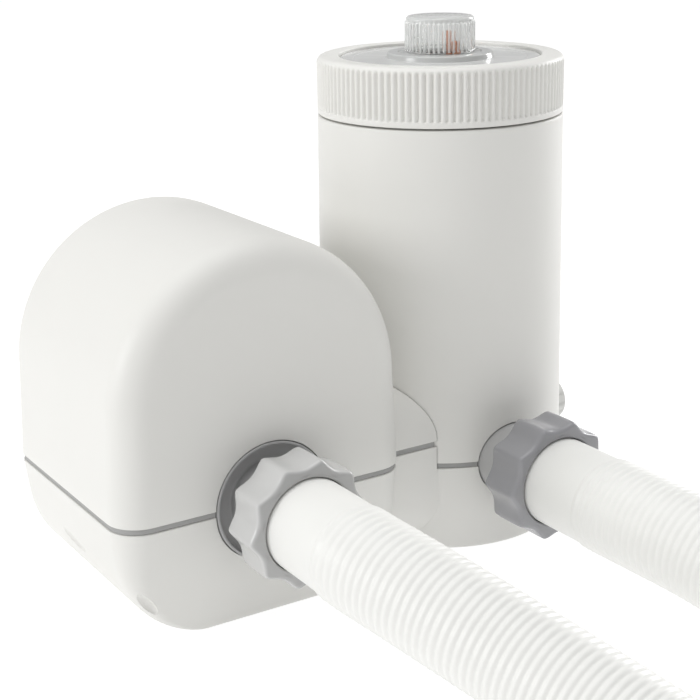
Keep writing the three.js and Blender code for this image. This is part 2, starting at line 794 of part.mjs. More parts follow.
// ---- hoses: cuff with end flange, plain run, end cuff ----
const HOSE = {
  startY: -92.6,
  endY: -345,
  restZ: 25.4,
  radius: 23.5,
  bore: 19.6,
  cuffRadius: 22.5,
  flangeRadius: 24.4,
  flangeLength: 3.3,
  straight: 30, // length at each end kept square to Y
  runStart: 54,
  endCuff: 48,
  runSteps: 7,
};
const hoseSolid = (points) => {
  const curve = new THREE.CatmullRomCurve3(vectors(points), false, "centripetal");
  const length = curve.getLength();
  const sideways = new THREE.Vector3(1, 0, 0);
  // ring at a distance along the hose; distances past an end carry on straight
  const ringAt = ([distance, radius]) => {
    const along = Math.min(Math.max(distance, 0), length);
    const centre = curve.getPointAt(along / length);
    const atEnd = distance < HOSE.straight || distance > length - HOSE.straight;
    const tangent = atEnd
      ? new THREE.Vector3(0, -1, 0)
      : curve.getTangentAt(along / length);
    const up = new THREE.Vector3().crossVectors(tangent, sideways).normalize();
    const right = new THREE.Vector3().crossVectors(up, tangent).normalize();
    centre.addScaledVector(tangent, distance - along);
    return Array.from({ length: 20 }, (_, i) => {
      const angle = (2 * Math.PI * i) / 20;
      return centre
        .clone()
        .addScaledVector(right, Math.cos(angle) * radius)
        .addScaledVector(up, Math.sin(angle) * radius);
    });
  };
  const runEnd = length - HOSE.endCuff;
  const run = Array.from(
    { length: HOSE.runSteps + 1 },
    (_, i) => HOSE.runStart + ((runEnd - HOSE.runStart) * i) / HOSE.runSteps,
  );
  // distance, radius
  const outer = [
    [0, HOSE.flangeRadius],
    [HOSE.flangeLength, HOSE.flangeRadius],
    [HOSE.flangeLength + 0.01, HOSE.cuffRadius],
    [28, HOSE.cuffRadius],
    [HOSE.runStart - 1, HOSE.cuffRadius],
    ...run.map((distance) => [distance, HOSE.radius]),
    [runEnd + 1, HOSE.cuffRadius],
    [length - 29, HOSE.cuffRadius],
    [length, HOSE.cuffRadius],
  ];
  const inner = [-5, 28, ...run, length - 28, length + 5].map((distance) => [
    distance,
    HOSE.bore,
  ]);
  return cut(loft(outer.map(ringAt)), loft(inner.map(ringAt)));
};
// centre lines as x, y, z
const inletPath = [
  [UNIT.x, HOSE.startY, UNIT.seamZ], [UNIT.x, -110, UNIT.seamZ], [UNIT.x, -125, UNIT.seamZ],
  [-144.4, -147, 59.6], [-140, -170, 56.6], [-132.5, -198, 51], [-123, -230, 43.5],
  [-113, -268, 35], [-106.5, -298, 29], [-105, -315, 26.4],
  [-105, -330, HOSE.restZ], [-105, HOSE.endY, HOSE.restZ],
];
const outletPath = [
  [0, HOSE.startY, CAN.seamZ], [0, -110, CAN.seamZ], [0, -140, CAN.seamZ],
  [1.5, -170, 47.6], [4.5, -200, 45.6], [9, -235, 40],
  [13, -268, 33], [16, -298, 27.6], [17, -315, 25.9],
  [17, -330, HOSE.restZ], [17, HOSE.endY, HOSE.restZ],
];
add("inlet_hose", hoseSolid(inletPath), MATERIALS.hose);
add("outlet_hose", hoseSolid(outletPath), MATERIALS.hose);

// ---- flow chamber with its paddle switch ----
const CHAMBER = { x: [-168, -123], y: [-58.6, 5], z: [20, 94], wall: 3.5 };
const PADDLE_AXIS = [-44, 84]; // [y, z]
const chamberInnerX = grow(CHAMBER.x, -CHAMBER.wall);
const chamberLeg = (xs) => box(xs, [-32, -12], [STAND_Z, 21]);
add(
  "flow_chamber",
  cut(
    join(
      box(CHAMBER.x, CHAMBER.y, CHAMBER.z),
      chamberLeg([-164, -157]),
      chamberLeg([-134, -127]),
    ),
    box(chamberInnerX, grow(CHAMBER.y, -CHAMBER.wall), grow(CHAMBER.z, -CHAMBER.wall)),
    cylY(INLET, PORT.bore, [-70, -50], 24),
    cylX(PIPE.at, PIPE_HOLE, [-128, -110], 24),
  ),
  MATERIALS.chamber,
);
add("paddle_pin", cylX(PADDLE_AXIS, 1.5, grow(chamberInnerX, -FIT), 12), MATERIALS.pin);
add(
  "flow_paddle",
  cut(
    join(
      cylX(PADDLE_AXIS, 3.6, [-156, -135.2], 16),
      box([-155, -136.2], around(PADDLE_AXIS[0], 0.8), [48, PADDLE_AXIS[1]]),
    ),
    cylX(PADDLE_AXIS, 1.9, [-160, -130], 12),
  ),
  MATERIALS.paddle,
);
add(
  "reed_sensor",
  box([-156, -135], [-52, -36], [CHAMBER.z[1] + GAP, 102]),
  MATERIALS.sensor,
);

// ---- power electronics ----
const CORE = { y: [14, 42], windowZ: [12, 44], windows: [-169, -131], limb: [-158, -142] };
add(
  "transformer_core",
  cut(
    box([-176, -124], CORE.y, [STAND_Z, 52]),
    box([CORE.windows[0], CORE.limb[0]], [0, 60], CORE.windowZ),
    box([CORE.limb[1], CORE.windows[1]], [0, 60], CORE.windowZ),
  ),
  MATERIALS.iron,
);
add(
  "transformer_coil",
  box(grow(CORE.windows, -FIT), [7.5, 48.5], grow(CORE.windowZ, -0.6)).subtract(
    box(grow(CORE.limb, FIT), grow(CORE.y, FIT), [0, 60]),
  ),
  MATERIALS.winding,
);
add("control_board", box([-196, -96], BOARD_Y, [70, 151]), MATERIALS.board);

// comb section in XY, fins towards the front
const heatSink = () => {
  const fin = { x: -182, count: 6, pitch: 12, width: 3, root: 40.7, tip: 28 };
  const backY = BOARD_Y[0] - GAP;
  const outline = [[fin.x, backY]];
  for (let i = 0; i < fin.count; i++) {
    const x0 = fin.x + i * fin.pitch;
    const x1 = x0 + fin.width;
    outline.push([x0, fin.root], [x0, fin.tip], [x1, fin.tip], [x1, fin.root]);
  }
  outline.push([fin.x + (fin.count - 1) * fin.pitch + fin.width, backY]);
  const shape = new THREE.Shape(outline.map((point) => new THREE.Vector2(...point)));
  return solid(
    new THREE.ExtrudeGeometry(shape, { depth: 26, bevelEnabled: false }).translate(0, 0, 72),
  );
};
add("heat_sink", heatSink(), MATERIALS.heatSink);

// ---- control panel on the rear face ----
const BUTTON = { z: 119, radius: 6 };
const BUTTONS = [["power_button", -168], ["boost_button", -148]]; // name, x
const LENS = { x: [-134, -112], z: [115, 123] };
const panelBezel = () =>
  cut(
    join(
      box(PANEL.x, [UNIT.rear + GAP, UNIT.rear + 2.4], PANEL.z),
      box(grow(PANEL.x, -PANEL.rim), [56.5, UNIT.rear + 1], grow(PANEL.z, -PANEL.rim)),
    ),
    ...BUTTONS.map(([, x]) => cylY([x, BUTTON.z], BUTTON.radius + 0.5, [50, 70], 16)),
    box(grow(LENS.x, FIT), [50, 70], grow(LENS.z, FIT)),
  );
add("panel_bezel", panelBezel(), MATERIALS.bezel);
for (const [name, x] of BUTTONS)
  add(
    name,
    cylY([x, BUTTON.z], BUTTON.radius, [52.5, UNIT.rear + 4.2], 16),
    MATERIALS.button,
  );
add("status_lens", box(LENS.x, [57, UNIT.rear + 2.9], LENS.z), MATERIALS.lens);

// ---- mains cord and cell lead ----
add(
  "cord_gland",
  cut(
    join(cylY(GLAND.at, GLAND.radius, [54, 72], 20), cylY(GLAND.at, 10, [60.2, 64.5], 6)),
    cylY(GLAND.at, 3.8, [40, 90], 16),
  ),
  MATERIALS.gland,
);
const lead = (path, { radius, steps, sides }) => {
  const circle = Array.from({ length: sides }, (_, i) => {
    const angle = (2 * Math.PI * i) / sides;
    return new THREE.Vector2(Math.cos(angle) * radius, Math.sin(angle) * radius);
  });
  return solid(
    new THREE.ExtrudeGeometry(new THREE.Shape(circle), {
      steps,
      bevelEnabled: false,
      extrudePath: new THREE.CatmullRomCurve3(vectors(path)),
    }),
  );
};
// centre lines as x, y, z
const cordPath = [
  [-120, 45, 30], [-120, 60, 30], [-120, 76, 29.6], [-119, 92, 24],
  [-117, 108, 13], [-115, 124, 6.5], [-113, 140, 5],
];
const cellLeadPath = [
  [-117, 41, 72], [-114, 30, 58], [-104, 18, 30], [-92, 11, 15],
  [-76, 9.6, 13], [-60, 9.4, 13], [-52, 7, 13.5], [-46.6, 2, 15],
];
add("mains_cord", lead(cordPath, { radius: 3.4, steps: 12, sides: 8 }), MATERIALS.mainsCord);
add("cell_lead", lead(cellLeadPath, { radius: 2.2, steps: 13, sides: 6 }), MATERIALS.cellLead);

// ---- drain seal and plug, in a group turned to the drain's direction ----
const PLUG = { stemRadius: 5.4, capRadius: 13.6, capX: 78.6, end: 92, step: 1.5 };
const drain = new THREE.Group();
drain.rotation.z = THREE.MathUtils.degToRad(DRAIN.turnDegrees);
group.add(drain);
add(
  "drain_seal",
  cylX(DRAIN.at, 9.6, [76.4, PLUG.capX - GAP], 16).subtract(
    cylX(DRAIN.at, 5.8, [70, 90], 16),
  ),
  MATERIALS.rubber,
  drain,
);
add(
  "drain_plug",
  join(
    cylX(DRAIN.at, PLUG.stemRadius, [58, PLUG.capX + 2], 16),
    cylX(DRAIN.at, PLUG.capRadius, [PLUG.capX, PLUG.end - PLUG.step], 24),
    cylX(DRAIN.at, PLUG.capRadius - PLUG.step, [PLUG.end - 3, PLUG.end], 24),
  ),
  MATERIALS.cellCase,
  drain,
);

// ---- feet and screws ----
for (const [name, at, radius, segments] of FEET)
  add(name, cylZ(at, radius, [0, 1.5], segments), MATERIALS.foot);
SCREWS.forEach((at, i) => {
  const head = cylZ(at, 4.2, [5.6, 8.7], 12);
  const shank = cylZ(at, 2, [8, 66], 8);
  add(`case_screw_${i + 1}`, join(head, shank), MATERIALS.screw);
});

export default group;
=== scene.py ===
# Salt chlorine generator: an arched power unit at -X and an upright canister about the Z axis,
# joined by a low bridge. The ports and hoses face the front (-Y), the control panel faces the
# rear (+Y), and the studio floor is z = 0. Lengths are millimetres unless named otherwise.
from bisect import bisect_right
from math import acos, atan2, cos, dist, hypot, pi, radians, sin, sqrt, tan
import bpy
import bmesh
from mathutils import Matrix, Vector


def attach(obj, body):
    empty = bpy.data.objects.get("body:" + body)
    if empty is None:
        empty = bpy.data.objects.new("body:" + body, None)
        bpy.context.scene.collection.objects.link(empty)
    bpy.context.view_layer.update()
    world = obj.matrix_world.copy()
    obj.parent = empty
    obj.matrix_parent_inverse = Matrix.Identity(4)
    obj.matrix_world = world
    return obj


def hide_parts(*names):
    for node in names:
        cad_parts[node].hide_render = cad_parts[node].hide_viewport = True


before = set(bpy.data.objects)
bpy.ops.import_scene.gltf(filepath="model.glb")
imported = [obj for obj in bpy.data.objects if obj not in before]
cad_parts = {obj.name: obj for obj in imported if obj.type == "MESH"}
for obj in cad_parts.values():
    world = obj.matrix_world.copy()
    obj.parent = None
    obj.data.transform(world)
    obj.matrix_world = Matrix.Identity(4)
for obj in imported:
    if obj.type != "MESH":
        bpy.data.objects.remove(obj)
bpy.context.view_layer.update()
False  # the model is built in full either way
MM = 0.001

# ---- sizes shared with the frame ----
# power unit: centre line, half widths and heights of the seam and of the arch's springing
CASE_X = -145.6
HALF_SEAM, HALF_SPRING = 77.4, 75.2
SEAM_Z, SPRING_Z = 60.9, 110.4
FRONT, REAR, FRONT_R, REAR_R = -70.0, 61.0, 16.0, 11.0
# tray below the seam: side arc and its centre's offset, side taper, how far the ends lean in
ARC_R, ARC_DX, TAPER_ANGLE = 47.0, 28.68, radians(6)
FRONT_LEAN, REAR_LEAN = 6.6, 4.0
FLOOR_Z, WALL = 1.0, 3.2
BRIDGE_HALF, BRIDGE_TOP, BRIDGE_TOP_R, BRIDGE_FOOT_R = 53.1, 93.1, 29.5, 30.0
CAN_SEAM_Z, CAN_TOP_Z = 48.3, 221.9
CAN_FLOOR_R, CAN_SEAM_R, CAN_TOP_R = 64.6, 65.65, 64.0
CAN_CLEAR_R = CAN_SEAM_R + 0.35
CAN_SEGMENTS = 192
NECK_R = 57.6
# the gaps that take the two seals
SEAM_LO, SEAM_HI = SEAM_Z - 1.55, SEAM_Z + 1.55
CAN_SEAM_LO, CAN_SEAM_HI = CAN_SEAM_Z - 1.4, CAN_SEAM_Z + 1.4
# (x, z) of the axes that run along Y
INLET, OUTLET, GLAND = (CASE_X, SEAM_Z), (0.0, CAN_SEAM_Z), (-120, 30)
DRAIN_TURN, DRAIN_Z = radians(10), 41.0
THREAD_PITCH = 4.0
# panel parts as (x0, x1, z0, z1), and the play round them in their openings
PANEL_PLUG = (-187.6, -103.6, 98.4, 139.6)
LENS = (-134, -112, 115, 123)
PANEL_PLAY = 0.4
KEY_Z = 119


# ================= mesh helpers =================
def clean(mesh, merge=0.0):
    """Turns the normals outward, after closing up anything shorter than merge."""
    bm = bmesh.new()
    bm.from_mesh(mesh)
    if merge:
        bmesh.ops.remove_doubles(bm, verts=bm.verts, dist=merge * MM)
        bmesh.ops.dissolve_degenerate(bm, edges=bm.edges, dist=merge * MM)
    bmesh.ops.recalc_face_normals(bm, faces=bm.faces)
    bm.to_mesh(mesh)
    bm.free()


def tidy(ob):
    clean(ob.data, merge=0.004)


def new_object(name, verts, faces):
    mesh = bpy.data.meshes.new(name)
    mesh.from_pydata([(x * MM, y * MM, z * MM) for x, y, z in verts], [], faces)
    clean(mesh)
    ob = bpy.data.objects.new(name, mesh)
    bpy.context.scene.collection.objects.link(ob)
    return ob


def loft(name, rings, closed_along=False):
    """Skins closed rings of equal length; the ends are capped unless the last joins the first."""
    n, count = len(rings[0]), len(rings)
    verts = [point for ring in rings for point in ring]
    faces = []
    for i in range(count if closed_along else count - 1):
        a, b = i * n, ((i + 1) % count) * n
        for j in range(n):
            k = (j + 1) % n
            faces.append((a + j, a + k, b + k, b + j))
    if not closed_along:
        faces.append(tuple(range(n - 1, -1, -1)))
        faces.append(tuple((count - 1) * n + j for j in range(n)))
    return new_object(name, verts, faces)


def fillet(points, closed=True, seg=5):
    """Rounds the corners of a profile; points are (r, h) or (r, h, corner radius)."""
    out, n = [], len(points)
    for i, point in enumerate(points):
        radius = point[2] if len(point) > 2 else 0.0
        if radius <= 0 or (not closed and i in (0, n - 1)):
            out.append((point[0], point[1]))
            continue
        corner = Vector(point[:2])
        back = Vector(points[i - 1][:2]) - corner
        ahead = Vector(points[(i + 1) % n][:2]) - corner
        back_length, ahead_length = back.length, ahead.length
        back.normalize()
        ahead.normalize()
        half = acos(max(-1, min(1, back.dot(ahead)))) / 2
        if half > pi / 2 - 1e-3:
            out.append((point[0], point[1]))
            continue
        reach = min(radius / tan(half), 0.49 * back_length, 0.49 * ahead_length)
        radius = reach * tan(half)
        centre = corner + (back + ahead).normalized() * (radius / sin(half))
        start, end = corner + back * reach - centre, corner + ahead * reach - centre
        first = atan2(start.y, start.x)
        sweep = (atan2(end.y, end.x) - first + pi) % (2 * pi) - pi
        for s in range(seg + 1):
            angle = first + sweep * s / seg
            out.append((centre.x + radius * cos(angle), centre.y + radius * sin(angle)))
    return out


def split(a, b, parts):
    """The points between a and b that divide the run into equal parts."""
    return [(a[0] + (b[0] - a[0]) * s / parts, a[1] + (b[1] - a[1]) * s / parts)
            for s in range(1, parts)]


def insert(profile, between, closed=True):
    """Adds to each run of a profile the points that between(a, b) gives."""
    out = []
    for a, b in zip(profile, profile[1:] + (profile[:1] if closed else [])):
        out.append(a)
        out += between(a, b)
    if not closed:
        out.append(profile[-1])
    return out


def dense(profile, step, closed=True):
    """Splits the runs of a profile that are longer than step."""
    return insert(profile, lambda a, b: split(a, b, int(dist(a, b) // step) + 1), closed)


def on_z(x=0.0, y=0.0):
    return lambda u, v, h: (x + u, y + v, h)


def on_port(port):
    """Height runs along Y; the ring lies in XZ about the port's axis."""
    return lambda u, v, h: (port[0] + u, h, port[1] + v)


def on_drain(u, v, h):
    """Height runs outward from the canister, turned from +X by DRAIN_TURN."""
    c, s = cos(DRAIN_TURN), sin(DRAIN_TURN)
    return (h * c - u * s, h * s + u * c, DRAIN_Z + v)


def revolve(name, profile, n=96, place=on_z(), radius=None, closed=True):
    """A turned solid. An open profile starts and ends on the axis.
    radius(angle, r, h) may shape it."""
    verts, rows = [], []
    for r, h in profile:
        if r < 1e-6:
            verts.append(place(0.0, 0.0, h))
            rows.append([len(verts) - 1])
            continue
        row = []
        for i in range(n):
            angle = 2 * pi * i / n
            shaped = radius(angle, r, h) if radius else r
            verts.append(place(shaped * cos(angle), shaped * sin(angle), h))
            row.append(len(verts) - 1)
        rows.append(row)
    faces = []
    count = len(rows)
    for i in range(count if closed else count - 1):
        a, b = rows[i], rows[(i + 1) % count]
        if len(a) == 1 and len(b) == 1:
            continue
        for j in range(n):
            k = (j + 1) % n
            if len(a) == 1:
                faces.append((a[0], b[k], b[j]))
            elif len(b) == 1:
                faces.append((a[j], a[k], b[0]))
            else:
                faces.append((a[j], a[k], b[k], b[j]))
    return new_object(name, verts, faces)


def drum(r, h0, h1, place, n=96):
    return revolve("tool", [(0, h0), (r, h0), (r, h1), (0, h1)], n, place, closed=False)


def plain_box(x0, x1, y0, y1, z0, z1):
    return loft("tool", [[(x0, y0, z), (x1, y0, z), (x1, y1, z), (x0, y1, z)] for z in (z0, z1)])


def circle(centre, right, up, r, n):
    return [tuple(centre + right * (cos(2 * pi * i / n) * r) + up * (sin(2 * pi * i / n) * r))
            for i in range(n)]


def corners(u0, u1, v0, v1, high_r, low_r, steps):
    """The four corner arcs of a rectangle, from (u1, v1) on; high_r is used at v1."""
    centres = ((u1 - high_r, v1 - high_r, high_r), (u0 + high_r, v1 - high_r, high_r),
               (u0 + low_r, v0 + low_r, low_r), (u1 - low_r, v0 + low_r, low_r))
    arcs = []
    for quarter, (u, v, r) in enumerate(centres):
        angles = [quarter * pi / 2 + pi / 2 * i / steps for i in range(steps + 1)]
        arcs.append([(u + r * cos(a), v + r * sin(a)) for a in angles])
    return arcs


def boolean(ob, tool, operation):
    """Applies the tool and deletes it; EXACT takes over where MANIFOLD changes nothing."""
    count = len(ob.data.polygons)
    for solver in ("MANIFOLD", "EXACT"):
        modifier = ob.modifiers.new("cut", "BOOLEAN")
        modifier.operation, modifier.object = operation, tool
        try:
            modifier.solver = solver
        except TypeError:  # guards against a Blender build that lacks this solver
            ob.modifiers.remove(modifier)
            continue
        bpy.context.view_layer.update()
        evaluated = ob.evaluated_get(bpy.context.evaluated_depsgraph_get())
        mesh = bpy.data.meshes.new_from_object(evaluated)
        ob.modifiers.remove(modifier)
        if len(mesh.polygons) not in (0, count):
            ob.data = mesh
            break
        bpy.data.meshes.remove(mesh)
    bpy.data.objects.remove(tool)


def cut(ob, *tools):
    for tool in tools:
        boolean(ob, tool, "DIFFERENCE")
    return ob


def join(ob, *others):
    for other in others:
        boolean(ob, other, "UNION")
    return ob


def shade(ob, angle):
    for polygon in ob.data.polygons:
        polygon.use_smooth = True
    ob.data.set_sharp_from_angle(angle=radians(angle))


def piece(ob, body, slot, node, angle=36, weighted=True, material=None):
    shade(ob, angle)
    if weighted:
        normals = ob.modifiers.new("normals", "WEIGHTED_NORMAL")
        normals.keep_sharp, normals.weight = True, 60
    ob.data.materials.clear()
    ob.data.materials.append(MATERIALS[material or slot])
    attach(ob, body)
    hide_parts(node)


# ================= materials =================
# sockets of the Mix node in its colour mode
MIX_FACTOR, MIX_A, MIX_B, MIX_RESULT = 0, 6, 7, 2


def ramp(tree, value, source, target):
    """Maps the source range (min, max) of a value onto the target range."""
    node = tree.nodes.new("ShaderNodeMapRange")
    for label, (low, high) in (("From", source), ("To", target)):
        node.inputs[label + " Min"].default_value = low
        node.inputs[label + " Max"].default_value = high
    tree.links.new(value, node.inputs["Value"])
    return node.outputs["Result"]


def noise(tree, coord, scale, detail, stretch=None):
    node = tree.nodes.new("ShaderNodeTexNoise")
    node.inputs["Scale"].default_value = scale
    node.inputs["Detail"].default_value = detail
    if stretch:
        mapping = tree.nodes.new("ShaderNodeMapping")
        mapping.inputs["Scale"].default_value = stretch
        tree.links.new(coord, mapping.inputs["Vector"])
        coord = mapping.outputs["Vector"]
    tree.links.new(coord, node.inputs["Vector"])
    return node.outputs["Fac"]


def mix_colour(tree, factor, start, end):
    """Mixes start, a colour or a socket, into the colour end."""
    node = tree.nodes.new("ShaderNodeMix")
    node.data_type = "RGBA"
    if isinstance(start, tuple):
        node.inputs[MIX_A].default_value = start
    else:
        tree.links.new(start, node.inputs[MIX_A])
    node.inputs[MIX_B].default_value = end
    tree.links.new(factor, node.inputs[MIX_FACTOR])
    return node.outputs[MIX_RESULT]


def scaled(rgb, gain, lift=0.0):
    return (*[min(c * (1 + gain) + lift, 1) for c in rgb], 1)


def finish(name, rgb, rough, spread, mottle, grain, grain_depth, edge_dust_and_highlight=0.03, edge_round=0.0,
           metallic=0.0, coat=0.0, transmission=0.0, ior=1.46, alpha=1.0, sheen=0.0,
           brushed=None, front=None):
    """Colour drifts slowly, roughness varies in patches, a fine grain breaks the highlight,
    and convex edges are a little paler, part edge dust and part painted highlight. front is a
    darker colour painted on faces towards -Y, painted shade for the side away from the lights."""
    material = bpy.data.materials.new(name)
    material.use_nodes = True
    tree = material.node_tree
    link = tree.links.new
    bsdf = tree.nodes["Principled BSDF"]
    coord = tree.nodes.new("ShaderNodeTexCoord").outputs["Object"]

    drift = noise(tree, coord, scale=14.0, detail=4.0)
    colour = mix_colour(tree, drift, scaled(rgb, -mottle), scaled(rgb, mottle))
    # paler convex edges found by pointiness: part edge dust, part painted highlight
    if edge_dust_and_highlight:
        pointiness = tree.nodes.new("ShaderNodeNewGeometry").outputs["Pointiness"]
        edge = ramp(tree, pointiness, source=(0.515, 0.60), target=(0.0, 1.0))
        colour = mix_colour(tree, edge, colour, scaled(rgb, edge_dust_and_highlight, edge_dust_and_highlight * 0.2))
    # painted shade: faces turned towards -Y, away from the lights, take the darker front colour
    if front:
        axes = tree.nodes.new("ShaderNodeSeparateXYZ")
        link(tree.nodes.new("ShaderNodeTexCoord").outputs["Normal"], axes.inputs[0])
        facing = ramp(tree, axes.outputs["Y"], source=(-0.45, -0.95), target=(0.0, 1.0))
        colour = mix_colour(tree, facing, colour, (*front, 1))
    link(colour, bsdf.inputs["Base Color"])

    patches = noise(tree, coord, scale=70.0, detail=3.0, stretch=brushed)
    roughness = ramp(tree, patches, source=(0.25, 0.75), target=(rough - spread, rough + spread))
    link(roughness, bsdf.inputs["Roughness"])

    bump = tree.nodes.new("ShaderNodeBump")
    bump.inputs["Strength"].default_value = 1.0
    bump.inputs["Distance"].default_value = grain_depth * MM
    link(noise(tree, coord, scale=grain, detail=2.0, stretch=brushed), bump.inputs["Height"])
    if edge_round:
        bevel = tree.nodes.new("ShaderNodeBevel")
        bevel.samples = 4
        bevel.inputs["Radius"].default_value = edge_round * MM
        link(bevel.outputs["Normal"], bump.inputs["Normal"])
    link(bump.outputs["Normal"], bsdf.inputs["Normal"])

    settings = {"Metallic": metallic, "IOR": ior, "Coat Weight": coat, "Coat Roughness": 0.12,
                "Transmission Weight": transmission, "Alpha": alpha, "Sheen Weight": sheen}
    for label, value in settings.items():
        bsdf.inputs[label].default_value = value
    return material


WHITE = (0.80, 0.795, 0.765)
# columns: colour, roughness, its spread, colour mottle, grain scale, grain depth, other settings
FINISHES = {
    "shell_plastic": (WHITE, 0.46, 0.05, 0.012, 1500, 0.010, dict(edge_dust_and_highlight=0.02, edge_round=0.5)),
    "collar_plastic": (WHITE, 0.42, 0.05, 0.012, 1500, 0.010, dict(edge_dust_and_highlight=0.03)),
    # front is painted shade: the inlet nut's faces towards -Y are darker only because the light
    # falls on its sides
    "nut_grey": ((0.585, 0.585, 0.578), 0.24, 0.03, 0.012, 1500, 0.006,
                 dict(edge_dust_and_highlight=0.0, coat=0.25, front=(0.45, 0.45, 0.447))),
    # a darker copy of the nut grey: painted shade for the outlet nut, which sits in the shadow of
    # the inlet nut and hose
    "nut_grey_painted_shade": ((0.32, 0.32, 0.335), 0.24, 0.03, 0.012, 1500, 0.006,
                   dict(edge_dust_and_highlight=0.0, coat=0.25)),
    "port_dark": ((0.47, 0.47, 0.47), 0.38, 0.06, 0.04, 1300, 0.010, dict(edge_dust_and_highlight=0.04)),
    "hose_white": ((0.85, 0.85, 0.825), 0.40, 0.06, 0.012, 900, 0.012,
                   dict(edge_dust_and_highlight=0.0, sheen=0.05)),
    "seal_grey": ((0.38, 0.38, 0.375), 0.65, 0.08, 0.05, 1300, 0.02, dict(edge_dust_and_highlight=0.06)),
    "seal_rubber": ((0.018, 0.018, 0.02), 0.55, 0.10, 0.12, 1100, 0.02, dict(edge_dust_and_highlight=0.08)),
    "washer_plastic": ((0.72, 0.72, 0.70), 0.30, 0.05, 0.02, 1200, 0.01, {}),
    "seal_clear": ((0.95, 0.955, 0.95), 0.12, 0.03, 0.01, 900, 0.006,
                   dict(transmission=1.0, ior=1.01, alpha=0.18, edge_dust_and_highlight=0.0)),
    "lid_smoke": ((0.70, 0.705, 0.695), 0.20, 0.05, 0.05, 500, 0.010,
                  dict(coat=0.5, edge_dust_and_highlight=0.10)),
    "lid_boss": ((0.80, 0.81, 0.80), 0.22, 0.04, 0.04, 400, 0.010,
                 dict(coat=0.25, transmission=0.35, edge_dust_and_highlight=0.10)),
    "cap_clear": ((0.985, 0.99, 0.985), 0.05, 0.02, 0.005, 300, 0.004,
                  dict(transmission=0.95, ior=1.10, coat=0.4, edge_dust_and_highlight=0.0)),
    # milky white for the rib crests and top rim of the clear cap: a painted highlight for the light
    # lines the clear ribs catch
    "cap_rib_painted_highlight": ((0.93, 0.94, 0.93), 0.16, 0.04, 0.01, 300, 0.004,
                dict(transmission=0.45, ior=1.12, coat=0.5, edge_dust_and_highlight=0.0)),
    "lid_neck_clear": ((0.95, 0.955, 0.955), 0.06, 0.03, 0.005, 300, 0.004,
                       dict(transmission=1.0, ior=1.0, alpha=0.12, edge_dust_and_highlight=0.0)),
    "terminal_black": ((0.030, 0.022, 0.020), 0.45, 0.10, 0.15, 1300, 0.02, dict(edge_dust_and_highlight=0.06)),
    "blade_copper": ((0.74, 0.25, 0.10), 0.30, 0.08, 0.10, 700, 0.010,
                     dict(metallic=0.55, brushed=(1, 1, 0.06), edge_dust_and_highlight=0.08)),
    "cell_plastic": ((0.68, 0.68, 0.66), 0.40, 0.06, 0.02, 1200, 0.012, dict(edge_dust_and_highlight=0.03)),
    "electrode_metal": ((0.075, 0.075, 0.08), 0.55, 0.12, 0.16, 1900, 0.03,
                        dict(metallic=0.55, edge_dust_and_highlight=0.12)),
    "titanium": ((0.52, 0.50, 0.47), 0.36, 0.08, 0.06, 900, 0.008,
                 dict(metallic=1.0, brushed=(1, 1, 0.05), edge_dust_and_highlight=0.1)),
    "steel": ((0.62, 0.62, 0.63), 0.28, 0.08, 0.04, 900, 0.006,
              dict(metallic=1.0, edge_dust_and_highlight=0.1)),
    "core_iron": ((0.085, 0.085, 0.09), 0.45, 0.12, 0.12, 900, 0.05,
                  dict(metallic=0.5, brushed=(0.05, 1, 1))),
    "coil_copper": ((0.48, 0.17, 0.06), 0.30, 0.08, 0.15, 700, 0.06,
                    dict(metallic=0.8, coat=0.5, brushed=(0.06, 1, 1))),
    "board_green": ((0.015, 0.13, 0.055), 0.32, 0.08, 0.2, 400, 0.02, dict(coat=0.5)),
    "sink_aluminium": ((0.66, 0.67, 0.68), 0.34, 0.08, 0.04, 900, 0.01,
                       dict(metallic=1.0, brushed=(1, 1, 0.05), edge_dust_and_highlight=0.1)),
    "panel_grey": ((0.115, 0.12, 0.13), 0.38, 0.06, 0.06, 1300, 0.014, dict(edge_dust_and_highlight=0.12)),
    "button_soft": ((0.62, 0.62, 0.61), 0.52, 0.06, 0.03, 1400, 0.014, dict(edge_dust_and_highlight=0.05)),
    "lens_smoke": ((0.012, 0.014, 0.017), 0.08, 0.04, 0.10, 300, 0.004,
                   dict(coat=0.8, edge_dust_and_highlight=0.0)),
    "cord_grey": ((0.50, 0.50, 0.49), 0.55, 0.08, 0.03, 1200, 0.02, dict(edge_dust_and_highlight=0.03)),
    "gland_grey": ((0.14, 0.14, 0.15), 0.45, 0.06, 0.06, 1300, 0.016, dict(edge_dust_and_highlight=0.10)),
    "foot_rubber": ((0.045, 0.045, 0.048), 0.72, 0.08, 0.10, 1100, 0.03, dict(edge_dust_and_highlight=0.10)),
}
MATERIALS = {name: finish(name, *values, **extra)
             for name, (*values, extra) in FINISHES.items()}


# ================= housing shapes =================
def arch(inset, y, z0, arc):
    """Outline of the power unit above z0: straight sides that lean in to a half circle."""
    levels = [z0 + (SPRING_Z - z0) * i / 8 for i in range(8)]
    slope = (HALF_SEAM - HALF_SPRING) / (SPRING_Z - SEAM_Z)
    side = [(HALF_SPRING + slope * (SPRING_Z - z) - inset, z) for z in levels]
    r = HALF_SPRING - inset
    angles = [pi - pi * i / arc for i in range(arc + 1)]
    return ([(CASE_X - half, y, z) for half, z in side]
            + [(CASE_X + r * cos(a), y, SPRING_Z + r * sin(a)) for a in angles]
            + [(CASE_X + half, y, z) for half, z in reversed(side)])


